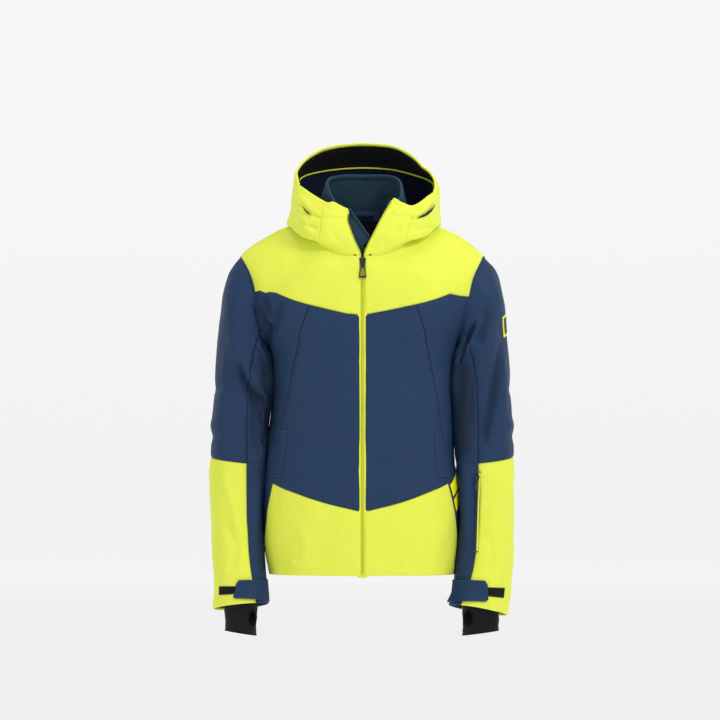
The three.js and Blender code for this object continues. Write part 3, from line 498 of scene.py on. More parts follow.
def sheet_piece(name, f, nu, nv, material, sgn=1, out=0.0, wrap=False, seams=(1, 1, 1, 1), rolls=(0, 0, 0, 0), disp=None, thick=1.2, groove=1.6, groove_w=2.6, puff=0.9, rough=1.0, stitch=(), calm=()):
    """A cloth piece from f(p, q). seams marks the sewn edges (p=0, p=1, q=0, q=1), rolls the turned-in free ones, in millimetres of turning."""
    u, v = np.linspace(0, 1, nu + 1), np.linspace(0, 1, nv + 1)
    if wrap:
        u = u[:-1]
    U, V = np.meshgrid(u, v, indexing="ij")
    P = f(U, V)
    e = 0.0015
    lo_u, hi_u = (U - e, U + e) if wrap else (np.maximum(U - e, 0), np.minimum(U + e, 1))
    du = f(hi_u, V) - f(lo_u, V)
    dv = f(U, np.minimum(V + e, 1)) - f(U, np.maximum(V - e, 0))
    N = np.cross(du, dv)
    N /= np.maximum(np.linalg.norm(N, axis=-1), 1e-9)[..., None]
    N *= sgn
    du_len = np.linalg.norm(np.diff(P, axis=0), axis=-1)
    dv_len = np.linalg.norm(np.diff(P, axis=1), axis=-1)
    cu = np.concatenate([np.zeros((1, P.shape[1])), np.cumsum(du_len, 0)], 0)
    cv = np.concatenate([np.zeros((P.shape[0], 1)), np.cumsum(dv_len, 1)], 1)
    dist = np.full(P.shape[:2], 1e3)
    if not wrap:
        if seams[0]:
            dist = np.minimum(dist, cu)
        if seams[1]:
            dist = np.minimum(dist, cu[-1:] - cu)
    if seams[2]:
        dist = np.minimum(dist, cv)
    if seams[3]:
        dist = np.minimum(dist, cv[:, -1:] - cv)
    H = relief(P, N, rough) if disp is None else disp(P, N)
    for edge in calm:
        d = (cu, cu[-1:] - cu, cv, cv[:, -1:] - cv)[edge]
        H = H * (1 - np.exp(-((d / 9.0) ** 2)))
    keep = 1.0
    for edge in calm:
        d = (cu, cu[-1:] - cu, cv, cv[:, -1:] - cv)[edge]
        keep = keep * (1 - np.exp(-((d / 5.0) ** 2)))
    H = H - keep * groove * np.exp(-((dist / groove_w) ** 2)) + puff * (1 - np.exp(-dist / 14.0)) * (dist < 999)
    Q = P + N * (out + H)[..., None]
    UV = np.stack([cu - cu[cu.shape[0] // 2], cv], -1) / 1000.0
    S = np.exp(-((dist / 1.6) ** 2))
    FS = fold_shade(P, N) if disp is None else 0 * S
    lines = []
    for edge, off in stitch:
        X, NN, C = (Q, N, cu) if edge < 2 else (Q.transpose(1, 0, 2), N.transpose(1, 0, 2), cv.T)
        if edge in (1, 3):
            X, NN, C = X[::-1], NN[::-1], (C[-1:] - C)[::-1]
        pts, nrm = [], []
        for j in range(X.shape[1]):
            c = C[:, j]
            i = min(max(int(np.searchsorted(c, off)) - 1, 0), len(c) - 2)
            k = (off - c[i]) / max(c[i + 1] - c[i], 1e-9)
            pts.append(X[i, j] + (X[i + 1, j] - X[i, j]) * k)
            nrm.append(NN[i, j])
        lines.append((np.array(pts), np.array(nrm)))
    cell = np.cross(P[1:, :-1] - P[:-1, :-1], P[:-1, 1:] - P[:-1, :-1])
    flat_size = (float(cu[-1].max()) / 1000, float(cv[:, -1].max()) / 1000, float(np.linalg.norm(cell, axis=-1).sum()) / 1e6)
    # turned-in free edges
    def roll(Q, N, UV, axis, first, depth):
        edge = np.take(Q, 0 if first else -1, axis)
        inner = np.take(Q, 1 if first else -2, axis)
        n = np.take(N, 0 if first else -1, axis)
        uv = np.take(UV, 0 if first else -1, axis)
        t = edge - inner
        t /= np.maximum(np.linalg.norm(t, axis=-1), 1e-9)[..., None]
        R = 2.4
        extra = []
        for a in (30, 60, 90, 120, 150, 180):
            a *= DEG
            extra.append(edge + t * R * math.sin(a) - n * R * (1 - math.cos(a)))
        extra.append(extra[-1] - t * depth - n * 0.4)
        if not first:
            Qn = np.concatenate([Q, np.stack(extra, axis)], axis)
            Nn = np.concatenate([N] + [np.expand_dims(n, axis)] * len(extra), axis)
            Un = np.concatenate([UV] + [np.expand_dims(uv + [0, 0.001 * (i + 1)], axis) for i in range(len(extra))], axis)
        else:
            Qn = np.concatenate([np.stack(extra[::-1], axis), Q], axis)
            Nn = np.concatenate([np.expand_dims(n, axis)] * len(extra) + [N], axis)
            Un = np.concatenate([np.expand_dims(uv - [0, 0.001 * (i + 1)], axis) for i in range(len(extra))][::-1] + [UV], axis)
        return Qn, Nn, Un

    for k, depth in enumerate(rolls):
        if depth:
            n0 = Q.shape
            Q, N, UV = roll(Q, N, UV, 0 if k < 2 else 1, k in (0, 2), depth)
            more = [(0, 0), (0, 0)]
            axis = 0 if k < 2 else 1
            more[axis] = (Q.shape[axis] - n0[axis], 0) if k in (0, 2) else (0, Q.shape[axis] - n0[axis])
            S = np.pad(S, more, mode="edge")
            FS = np.pad(FS, more, mode="edge")
    a, b = Q.shape[:2]
    idx = np.arange(a * b).reshape(a, b)
    if wrap:
        idx = np.concatenate([idx, idx[:1]], 0)
    faces = np.stack([idx[:-1, :-1], idx[1:, :-1], idx[1:, 1:], idx[:-1, 1:]], -1).reshape(-1, 4)
    if sgn < 0:
        faces = faces[:, ::-1]
    ob = new_object(name, to_row(Q.reshape(-1, 3)), faces, material, UV.reshape(-1, 2))
    mark_seams(ob, S)
    # the fold attribute carries the painted shade of folds and arm-body contact into the colour
    mark_seams(ob, FS, "fold")
    if thick:
        m = ob.modifiers.new("thickness", "SOLIDIFY")
        m.thickness = thick / 1000
        m.offset = -1
        m.use_even_offset = False
    PIECES[name] = {"ob": ob, "Q": Q, "N": N, "stitch": lines, "flat": flat_size}
    return ob


def stitch_mesh(name, lines, material, length=2.7, gap=1.5, radius=0.32):
    """Top stitching along lines of (points, normals): one small raised thread for each stitch."""
    verts, faces, base = [], [], 0
    for pts, nrm in lines:
        cum = np.concatenate([[0], np.cumsum(np.linalg.norm(np.diff(pts, axis=0), axis=1))])
        n = int(cum[-1] / (length + gap))
        if n < 1:
            continue
        s0 = (np.arange(n) + 0.5) * cum[-1] / n - length / 2
        at = s0[:, None] + np.array([0.0, 0.22, 0.78, 1.0]) * length
        P = np.stack([np.interp(at, cum, pts[:, i]) for i in range(3)], -1)
        M = np.stack([np.interp(at, cum, nrm[:, i]) for i in range(3)], -1)
        M /= np.linalg.norm(M, axis=-1)[..., None]
        T = P[:, 3] - P[:, 0]
        T /= np.maximum(np.linalg.norm(T, axis=-1), 1e-9)[:, None]
        B = np.cross(T[:, None], M)
        lift = np.array([-0.1, 0.3, 0.3, -0.1])[None, :, None]
        ring = [P + M * (lift + radius), P + M * lift + B * radius, P + M * (lift - radius), P + M * lift - B * radius]
        V = np.stack(ring, 2)
        verts.append(V.reshape(-1, 3))
        idx = base + np.arange(n * 16).reshape(n, 4, 4)
        for a in range(3):
            for b in range(4):
                c = (b + 1) % 4
                faces.append(np.stack([idx[:, a, b], idx[:, a, c], idx[:, a + 1, c], idx[:, a + 1, b]], -1))
        faces.append(idx[:, 0, ::-1])
        faces.append(idx[:, 3, :])
        base += n * 16
    if not verts:
        return None
    return new_object(name, to_row(np.concatenate(verts)), np.concatenate(faces), material)


def tube_piece(name, pts, radius, material, sides=8, closed=False, caps=True, flat=1.0):
    """A round bead or cord along pts (millimetres)."""
    pts = np.asarray(pts, float)
    n = len(pts)
    t = np.gradient(pts, axis=0)
    if closed:
        t = np.roll(pts, -1, 0) - np.roll(pts, 1, 0)
    t /= np.maximum(np.linalg.norm(t, axis=1), 1e-9)[:, None]
    ref = np.array([0.13, 0.31, 0.94])
    a = np.cross(t, ref)
    a /= np.linalg.norm(a, axis=1)[:, None]
    b = np.cross(t, a)
    ang = np.arange(sides) / sides * 2 * math.pi
    r = np.broadcast_to(np.asarray(radius, float), (n,))
    V = pts[:, None] + r[:, None, None] * (a[:, None] * np.cos(ang)[None, :, None] + b[:, None] * np.sin(ang)[None, :, None] * flat)
    idx = np.arange(n * sides).reshape(n, sides)
    if closed:
        idx = np.concatenate([idx, idx[:1]])
    j = np.roll(idx, -1, 1)
    faces = np.stack([idx[:-1], j[:-1], j[1:], idx[1:]], -1).reshape(-1, 4).tolist()
    if caps and not closed:
        faces += [idx[0].tolist()[::-1], idx[-1].tolist()]
    return new_object(name, to_row(V.reshape(-1, 3)), faces, material)


# ------------------------------------------------------------------ materials
def socket(node, name, value):
    node.inputs[name].default_value = value


def cloth(name, colour, rough=0.72, sheen=0.15, sheen_tint=None, period=0.0009, weave=0.25, mottling=0.05, grain=0.12, twill=False, seam_dark=0.2, fuzz=0.0, spec=0.18, fold_painted_shade=0.0):
    """Woven cloth: two crossing sets of yarns as bump, a faint mottling, a painted highlight along raised edges, darker
    in the seams and painted shade in deep folds.
    """
    m = bpy.data.materials.new(name)
    m.use_nodes = True
    nt = m.node_tree
    nt.nodes.clear()
    new = nt.nodes.new
    link = nt.links.new
    out = new("ShaderNodeOutputMaterial")
    bs = new("ShaderNodeBsdfPrincipled")
    link(bs.outputs[0], out.inputs[0])
    socket(bs, "Specular IOR Level", spec)
    socket(bs, "Sheen Weight", sheen)
    socket(bs, "Sheen Roughness", 0.5)
    socket(bs, "Sheen Tint", (*(sheen_tint or colour), 1))
    uv = new("ShaderNodeUVMap")
    uv.uv_map = "cloth"
    tc = new("ShaderNodeTexCoord")
    # yarns
    mapping = new("ShaderNodeMapping")
    link(uv.outputs[0], mapping.inputs[0])
    if twill:
        mapping.inputs["Rotation"].default_value = (0, 0, 0.9)
    waves = []
    for direction in ("X", "Y"):
        w = new("ShaderNodeTexWave")
        w.wave_type = "BANDS"
        w.bands_direction = direction
        socket(w, "Scale", 0.314 / period)
        socket(w, "Distortion", 0.6)
        socket(w, "Detail", 1.0)
        socket(w, "Detail Scale", 0.4)
        link(mapping.outputs[0], w.inputs[0])
        waves.append(w)
    both = new("ShaderNodeMath")
    both.operation = "MULTIPLY" if not twill else "ADD"
    link(waves[0].outputs["Fac"], both.inputs[0])
    link(waves[1].outputs["Fac"], both.inputs[1])
    fine = new("ShaderNodeTexNoise")
    socket(fine, "Scale", 1400.0)
    socket(fine, "Detail", 2.0)
    link(tc.outputs["Object"], fine.inputs["Vector"])
    height = new("ShaderNodeMix")
    height.data_type = "FLOAT"
    height.inputs[0].default_value = 0.35 + 0.4 * fuzz
    link(both.outputs[0], height.inputs[2])
    link(fine.outputs["Fac"], height.inputs[3])
    bump = new("ShaderNodeBump")
    socket(bump, "Strength", weave)
    socket(bump, "Distance", 0.00025)
    link(height.outputs[0], bump.inputs["Height"])
    # the coated cloth's small dimples
    dimple = new("ShaderNodeTexNoise")
    socket(dimple, "Scale", 90.0)
    socket(dimple, "Detail", 3.0)
    socket(dimple, "Roughness", 0.55)
    link(tc.outputs["Object"], dimple.inputs["Vector"])
    bump2 = new("ShaderNodeBump")
    socket(bump2, "Strength", grain)
    socket(bump2, "Distance", 0.0012)
    link(dimple.outputs["Fac"], bump2.inputs["Height"])
    link(bump.outputs[0], bump2.inputs["Normal"])
    link(bump2.outputs[0], bs.inputs["Normal"])
    # colour
    mott = new("ShaderNodeTexNoise")
    socket(mott, "Scale", 14.0)
    socket(mott, "Detail", 4.0)
    link(tc.outputs["Object"], mott.inputs["Vector"])
    c1 = new("ShaderNodeMix")
    c1.data_type = "RGBA"
    c1.inputs[6].default_value = (*[c * (1 - mottling) for c in colour], 1)
    c1.inputs[7].default_value = (*[min(1, c * (1 + mottling)) for c in colour], 1)
    link(mott.outputs["Fac"], c1.inputs[0])
    c2 = new("ShaderNodeMix")
    c2.data_type = "RGBA"
    c2.blend_type = "MULTIPLY"
    c2.inputs[7].default_value = (0.80, 0.80, 0.80, 1)
    yarn = new("ShaderNodeMath")
    yarn.operation = "MULTIPLY"
    yarn.inputs[1].default_value = 0.35
    inv = new("ShaderNodeMath")
    inv.operation = "SUBTRACT"
    inv.inputs[0].default_value = 1.0
    link(both.outputs[0], inv.inputs[1])
    link(inv.outputs[0], yarn.inputs[0])
    link(yarn.outputs[0], c2.inputs[0])
    link(c1.outputs[2], c2.inputs[6])
    # seams gather a little dirt and shade
    at = new("ShaderNodeAttribute")
    at.attribute_name = "seam"
    sm = new("ShaderNodeMath")
    sm.operation = "MULTIPLY"
    sm.inputs[1].default_value = seam_dark
    link(at.outputs["Fac"], sm.inputs[0])
    c3 = new("ShaderNodeMix")
    c3.data_type = "RGBA"
    c3.blend_type = "MULTIPLY"
    c3.inputs[7].default_value = (0.45, 0.45, 0.45, 1)
    link(sm.outputs[0], c3.inputs[0])
    link(c2.outputs[2], c3.inputs[6])
    # painted shade: the colour is darkened in deep folds and where arm and body touch, read from the fold attribute
    fo = new("ShaderNodeAttribute")
    fo.attribute_name = "fold"
    fm = new("ShaderNodeMath")
    fm.operation = "MULTIPLY"
    fm.inputs[1].default_value = fold_painted_shade
    link(fo.outputs["Fac"], fm.inputs[0])
    c5 = new("ShaderNodeMix")
    c5.data_type = "RGBA"
    c5.blend_type = "MULTIPLY"
    c5.inputs[7].default_value = (0.10, 0.10, 0.13, 1)
    link(fm.outputs[0], c5.inputs[0])
    link(c3.outputs[2], c5.inputs[6])
    # painted highlight: raised edges are lightened in the colour, as if they caught the light
    geo = new("ShaderNodeNewGeometry")
    ramp = new("ShaderNodeMapRange")
    ramp.inputs["From Min"].default_value = 0.52
    ramp.inputs["From Max"].default_value = 0.62
    ramp.inputs["To Max"].default_value = 0.25
    link(geo.outputs["Pointiness"], ramp.inputs["Value"])
    c4 = new("ShaderNodeMix")
    c4.data_type = "RGBA"
    c4.inputs[7].default_value = (*[min(1.0, c * 1.25 + 0.015) for c in colour], 1)
    link(ramp.outputs[0], c4.inputs[0])
    link(c5.outputs[2], c4.inputs[6])
    link(c4.outputs[2], bs.inputs["Base Color"])
    # roughness
    rr = new("ShaderNodeMapRange")
    rr.inputs["To Min"].default_value = rough - 0.07
    rr.inputs["To Max"].default_value = rough + 0.07
    link(mott.outputs["Fac"], rr.inputs["Value"])
    link(rr.outputs[0], bs.inputs["Roughness"])
    return m


def hard(name, colour, rough=0.35, metal=0.0, scratch=0.15):
    m = bpy.data.materials.new(name)
    m.use_nodes = True
    nt = m.node_tree
    bs = nt.nodes["Principled BSDF"]
    tc = nt.nodes.new("ShaderNodeTexCoord")
    n1 = nt.nodes.new("ShaderNodeTexNoise")
    socket(n1, "Scale", 900.0)
    socket(n1, "Detail", 4.0)
    nt.links.new(tc.outputs["Object"], n1.inputs["Vector"])
    # painted highlight: raised edges are lightened in the colour by pointiness
    mx = nt.nodes.new("ShaderNodeMix")
    mx.data_type = "RGBA"
    mx.inputs[6].default_value = (*colour, 1)
    mx.inputs[7].default_value = (*[min(1, c * 1.5 + 0.02) for c in colour], 1)
    geo = nt.nodes.new("ShaderNodeNewGeometry")
    rp = nt.nodes.new("ShaderNodeMapRange")
    rp.inputs["From Min"].default_value = 0.53
    rp.inputs["From Max"].default_value = 0.65
    nt.links.new(geo.outputs["Pointiness"], rp.inputs["Value"])
    nt.links.new(rp.outputs[0], mx.inputs[0])
    nt.links.new(mx.outputs[2], bs.inputs["Base Color"])
    rr = nt.nodes.new("ShaderNodeMapRange")
    rr.inputs["To Min"].default_value = rough - 0.1
    rr.inputs["To Max"].default_value = rough + 0.15
    nt.links.new(n1.outputs["Fac"], rr.inputs["Value"])
    nt.links.new(rr.outputs[0], bs.inputs["Roughness"])
    bp = nt.nodes.new("ShaderNodeBump")
    socket(bp, "Strength", scratch)
    socket(bp, "Distance", 0.00008)
    nt.links.new(n1.outputs["Fac"], bp.inputs["Height"])
    nt.links.new(bp.outputs[0], bs.inputs["Normal"])
    socket(bs, "Metallic", metal)
    socket(bs, "Specular IOR Level", 0.5)
    return m


LIME = cloth("lime_shell_cloth", (0.80, 0.875, 0.085), rough=0.66, sheen=0.03, mottling=0.03, seam_dark=0.22, fold_painted_shade=0.12)
NAVY = cloth("navy_shell_cloth", (0.0150, 0.0405, 0.101), rough=0.62, sheen=0.02, sheen_tint=(0.25, 0.38, 0.62), mottling=0.08, seam_dark=0.35, fold_painted_shade=0.8)
NEON = cloth("neon_film", (0.86, 0.84, 0.0), rough=0.5, sheen=0.0, weave=0.1, mottling=0.02)
LININGM = cloth("navy_lining_cloth", (0.008, 0.015, 0.040), rough=0.5, sheen=0.06, sheen_tint=(0.12, 0.18, 0.35), period=0.0006, weave=0.3, mottling=0.12)
TEAL = cloth("teal_brushed_knit", (0.020, 0.052, 0.085), rough=0.85, sheen=0.10, sheen_tint=(0.25, 0.42, 0.55), period=0.0013, weave=0.4, mottling=0.12, fuzz=1.0)
BLACK = cloth("black_knit", (0.007, 0.007, 0.008), rough=0.85, sheen=0.04, sheen_tint=(0.3, 0.3, 0.32), period=0.0012, weave=0.5, mottling=0.2)
GAITER = cloth("black_stretch_jersey", (0.009, 0.009, 0.010), rough=0.75, sheen=0.05, sheen_tint=(0.3, 0.3, 0.33), period=0.0010, weave=0.5, mottling=0.15)
TAPE = cloth("lime_zip_tape", (0.82, 0.88, 0.05), rough=0.62, sheen=0.1, period=0.0014, weave=0.5, twill=True, mottling=0.03)
COIL = hard("lime_coil", (0.66, 0.74, 0.05), rough=0.42)
THREAD_L = hard("lime_thread", (0.72, 0.80, 0.05), rough=0.6)
THREAD_N = hard("navy_thread", (0.018, 0.043, 0.10), rough=0.6)
METAL = hard("dark_zip_metal", (0.022, 0.022, 0.032), rough=0.36, metal=0.45)
DARKCOIL = hard("dark_coil", (0.012, 0.018, 0.035), rough=0.4)


def mark_seams(ob, values, name="seam"):
    a = ob.data.attributes.new(name, "FLOAT", "POINT")
    a.data.foreach_set("value", np.asarray(values, np.float32).ravel())


# ------------------------------------------------------------------ camera, light, floor
SCENE = bpy.context.scene
SCENE.view_settings.view_transform = "Standard"
cam_data = bpy.data.cameras.new("camera")
cam_data.lens = 400.0
cam_data.sensor_width = 36.0
cam_data.dof.use_dof = False
cam = bpy.data.objects.new("camera", cam_data)
SCENE.collection.objects.link(cam)
CAM_D = 16.0
cam.location = (-0.005, -LOOP_Y / 1000 - CAM_D, -0.290)
cam.rotation_euler = (math.pi / 2, 0, 0)
cam_data.clip_end = 80
SCENE.camera = cam


def area(name, loc, target, size, power, colour=(1, 1, 1)):
    d = bpy.data.lights.new(name, "AREA")
    d.shape = "RECTANGLE"
    d.size, d.size_y = size
    d.energy = power
    d.color = colour
    o = bpy.data.objects.new(name, d)
    SCENE.collection.objects.link(o)
    o.location = loc
    o.rotation_euler = (Vector(target) - Vector(loc)).to_track_quat("-Z", "Y").to_euler()
    return o


area("key", (2.0, -2.2, 2.0), (0, 0, -0.4), (0.9, 0.9), 48)
area("fill", (-1.9, -2.8, 0.5), (0, 0, -0.4), (1.2, 1.8), 11)
area("top", (0, -0.5, 2.3), (0, 0, 0), (1.4, 1.0), 16)
area("back_left", (-2.0, 1.4, 0.6), (0, 0, -0.3), (0.8, 2.0), 9)
area("back_right", (2.0, 1.4, 0.6), (0, 0, -0.3), (0.8, 2.0), 9)
world = bpy.data.worlds.new("studio")
SCENE.world = world
world.use_nodes = True
world.node_tree.nodes["Background"].inputs[0].default_value = (1, 1, 1, 1)
world.node_tree.nodes["Background"].inputs[1].default_value = 0.50


def floor_piece():
    """A wide, round, pale floor that curves up into a low backdrop on every side."""
    prof = [(0.001, -1.25), (4.0, -1.25), (9.0, -1.25), (14.0, -1.25), (19.0, -1.25)]
    for i in range(1, 9):
        a = i / 8 * math.pi / 2
        prof.append((19.0 + 2.0 * math.sin(a), -1.25 + 2.0 * (1 - math.cos(a))))
    prof.append((21.0, 2.4))
    n, turns = len(prof), 96
    verts = [(r * math.cos(2 * math.pi * j / turns), r * math.sin(2 * math.pi * j / turns), z) for j in range(turns) for r, z in prof]
    faces = []
    for j in range(turns):
        k = (j + 1) % turns
        for i in range(n - 1):
            faces.append((j * n + i, j * n + i + 1, k * n + i + 1, k * n + i))
    m = bpy.data.materials.new("pale_floor")
    m.use_nodes = True
    b = m.node_tree.nodes["Principled BSDF"]
    b.inputs["Base Color"].default_value = (0.55, 0.55, 0.55, 1)
    b.inputs["Emission Color"].default_value = (1, 1, 1, 1)
    b.inputs["Emission Strength"].default_value = 0.54
    b.inputs["Roughness"].default_value = 0.95
    me = bpy.data.meshes.new("floor")
    me.from_pydata(verts, [], faces)
    me.polygons.foreach_set("use_smooth", np.ones(len(me.polygons), bool))
    me.materials.append(m)
    ob = bpy.data.objects.new("floor", me)
    SCENE.collection.objects.link(ob)


floor_piece()

# ------------------------------------------------------------------ body panels
NAMES = {1: "left", -1: "right"}
STEP = 3.2
FLATS = {}


def n_of(length):
    return max(4, int(round(length / STEP)))


def finish_piece(ob, body, nodes, blend=None, sheet=None, thread=None):
    objs = [ob]
    info = PIECES.get(ob.name)
    if info and info.get("stitch"):
        st = stitch_mesh(ob.name + "_stitching", info["stitch"], thread or THREAD_L)
        if st:
            objs.append(st)
    for o in objs:
        if blend:
            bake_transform(o)
        else:
            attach(o, body)
    if nodes:
        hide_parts(*nodes)
    if sheet:
        w, l, a = info["flat"]
        FLATS[ob.name] = (w, l, a)
    return ob


cols_front = lambda p, r: mix(zip_t(r), princess_t(r), p)
cols_side = lambda p, r: mix(princess_t(r), side_t(r), p)
cols_yoke = lambda p, r: mix(zip_t(r), arm_t(r), p)
rows_hem = lambda q, t: hem_r(t) * q
rows_chest = lambda q, t: mix(hem_r(t), yoke_r(t), q)
rows_yoke = lambda q, t: arm_rows(yoke_r(t), q)
SHELL = dict(thick=2.2)

for s, nm in NAMES.items():
    YOKE_SIDE = s
    o = sheet_piece(f"front_yoke_{nm}_cloth", region(s, cols_yoke, rows_yoke), n_of(240), n_of(230), LIME, sgn=s, seams=(0, 1, 1, 0), rolls=(3, 0, 0, 0), stitch=((0, 5.0), (2, 4.0)), calm=(1, 3), **SHELL)
    finish_piece(o, "jacket", [f"front_yoke_{nm}"])
    o = sheet_piece(f"front_chest_{nm}_cloth", region(s, cols_front, rows_chest), n_of(170), n_of(400), NAVY, sgn=s, seams=(0, 1, 1, 1), rolls=(3, 0, 0, 0), stitch=((0, 5.0), (1, 3.0)), **SHELL)
    finish_piece(o, "jacket", [f"front_chest_{nm}"], thread=THREAD_N)
    o = sheet_piece(f"side_front_{nm}_cloth", region(s, cols_side, rows_side), n_of(110), n_of(560), NAVY, sgn=s, seams=(1, 1, 0, 1), rolls=(0, 0, 14, 0), calm=(1,), **SHELL)
    finish_piece(o, "jacket", [f"side_front_{nm}"])
    o = sheet_piece(f"front_hem_{nm}_cloth", region(s, cols_front, rows_hem), n_of(190), n_of(170), LIME, sgn=s, seams=(0, 1, 0, 1), rolls=(3, 0, 14, 0), stitch=((0, 5.0), (2, 14.0), (3, 4.0)), **SHELL)
    finish_piece(o, "jacket", [f"front_hem_{nm}"])
    YOKE_SIDE = 0
    o = sheet_piece(f"side_back_{nm}_cloth", region(s, cols_side, rows_side, True), n_of(110), n_of(560), NAVY, sgn=-s, seams=(1, 1, 0, 1), rolls=(0, 0, 14, 0), calm=(1,), **SHELL)
    finish_piece(o, "jacket", [f"side_back_{nm}"])


def across(cols, rows):
    def f(p, q):
        p, q = np.broadcast_arrays(np.asarray(p, float), np.asarray(q, float))
        side = np.where(p < 0.5, -1.0, 1.0)
        u = np.abs(2 * p - 1)
        t, r = cols(u, 5.0 + 0 * p), 5.0 + 0 * p
        for _ in range(9):
            r = rows(q, t)
            t = cols(u, r)
        return torso(side, 1 - t, r)

    return f


back_cols = lambda p, r: princess_t(r) * p
o = sheet_piece("back_yoke_cloth", across(lambda p, r: arm_t(r) * p, rows_yoke), n_of(480), n_of(220), LIME, sgn=-1, seams=(1, 1, 1, 0), stitch=((2, 4.0),), calm=(0, 1, 3), **SHELL)
finish_piece(o, "jacket", ["back_yoke"])
o = sheet_piece("back_centre_cloth", across(back_cols, rows_chest), n_of(340), n_of(420), NAVY, sgn=-1, stitch=((0, 3.0), (1, 3.0)), **SHELL)
finish_piece(o, "jacket", ["back_centre"], thread=THREAD_N)
o = sheet_piece("back_hem_cloth", across(back_cols, rows_hem), n_of(380), n_of(170), LIME, sgn=-1, seams=(1, 1, 0, 1), rolls=(0, 0, 14, 0), stitch=((2, 14.0), (3, 4.0)), **SHELL)
finish_piece(o, "jacket", ["back_hem"])

# the seam allowance inside each armhole
for s, nm in NAMES.items():
    psi = np.linspace(0, 2 * math.pi, 121)[:-1]
    t, r = 0.5 - ARM_T * np.sin(psi), ARM_R + ARM_H * np.cos(psi)
    c = torso(s, t, r)
    n = np.cross(torso(s, t + 0.004, r) - torso(s, t - 0.004, r), torso(s, t, r + 0.02) - torso(s, t, r - 0.02)) * s
    n /= np.linalg.norm(n, axis=1)[:, None]
    c = c - n * 2.6 + np.array([s * 1.0, 0, 0])
    o = tube_piece(f"armhole_seam_{nm}", c, 3.0, NAVY, sides=10, closed=True)
    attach(o, "jacket")

# linings
lining_t = lambda r: np.where(np.asarray(r) < ARM_R - ARM_H * 1.12, 0.5, np.minimum(0.5, 0.5 - ARM_T * np.sqrt(np.maximum(0, 1 - ((np.asarray(r, float) - ARM_R) / (ARM_H * 1.12)) ** 2)) * 1.02))
lining_fold = lambda P, N: 1.5 * noise3(P / [30, 30, 110]) + 0.5 * noise3(P / 14.0)
for s, nm in NAMES.items():
    o = sheet_piece(f"lining_front_{nm}_cloth", region(s, lambda p, r: mix(zip_t(r) * 2.4 + 0.02, lining_t(r), p), lambda q, t: mix(0.25, 9.7, q) + 0 * t), n_of(300), n_of(640), LININGM, sgn=s, out=LINING_AT, disp=lining_fold, seams=(0, 0, 0, 0), puff=0, thick=0.8)
    finish_piece(o, "jacket", [f"lining_front_{nm}"], sheet=("stretched", [f"front_hem_{nm}_cloth"]))
o = sheet_piece("lining_back_cloth", across(lambda p, r: lining_t(r) * p, lambda q, t: mix(0.25, 10.0, q) + 0 * t), n_of(600), n_of(640), LININGM, sgn=-1, out=LINING_AT, disp=lining_fold, seams=(0, 0, 0, 0), puff=0, thick=0.8)
finish_piece(o, "jacket", ["lining_back"], sheet=("stretched", ["back_hem_cloth"]))

# hand pockets: the welt on each princess seam, with its stitching; the closed zip under it and the bar tacks at its
# ends are not drawn
for s, nm in NAMES.items():
    at = lambda p, q, s=s: torso(s, princess_t(mix(2.42, 3.42, q)) - mix(0.052, 0.004, p), mix(2.42, 3.42, q))
    o = sheet_piece(f"pocket_welt_{nm}_cloth", at, n_of(24), n_of(90), NAVY, sgn=s, out=2.2, thick=1.8, seams=(0, 0, 0, 0), puff=0, groove=0, stitch=((0, 2.2), (2, 2.5), (3, 2.5)))
    finish_piece(o, "jacket", [f"pocket_welt_{nm}"], thread=THREAD_N)

# side stripes on the left
def stripe(ra, rb, rise):
    def f(p, q):
        r = mix(ra, rb, q)
        t = mix(princess_t(r) + 0.005, 0.487, p)
        return torso(1, t, r + rise * p)
    return f


for nm2, ra, rb in (("side_stripe_upper", 1.98, 2.24), ("side_stripe_lower", 1.62, 1.9)):
    o = sheet_piece(nm2 + "_film", stripe(ra, rb, 0.42), n_of(40), n_of(30), NEON, sgn=1, out=1.55, thick=0.6, seams=(0, 0, 0, 0), puff=0, groove=0)
    finish_piece(o, "jacket", [nm2])

# ------------------------------------------------------------------ sleeves
ELBOW_TOP, ELBOW_END = -0.42, -0.53


def elbow(s):
    nm = NAMES[s]
    return ("jacket", f"forearm_{nm}", (s * 0.25, -0.05, ELBOW_TOP), (s * 0.25, -0.05, ELBOW_END))


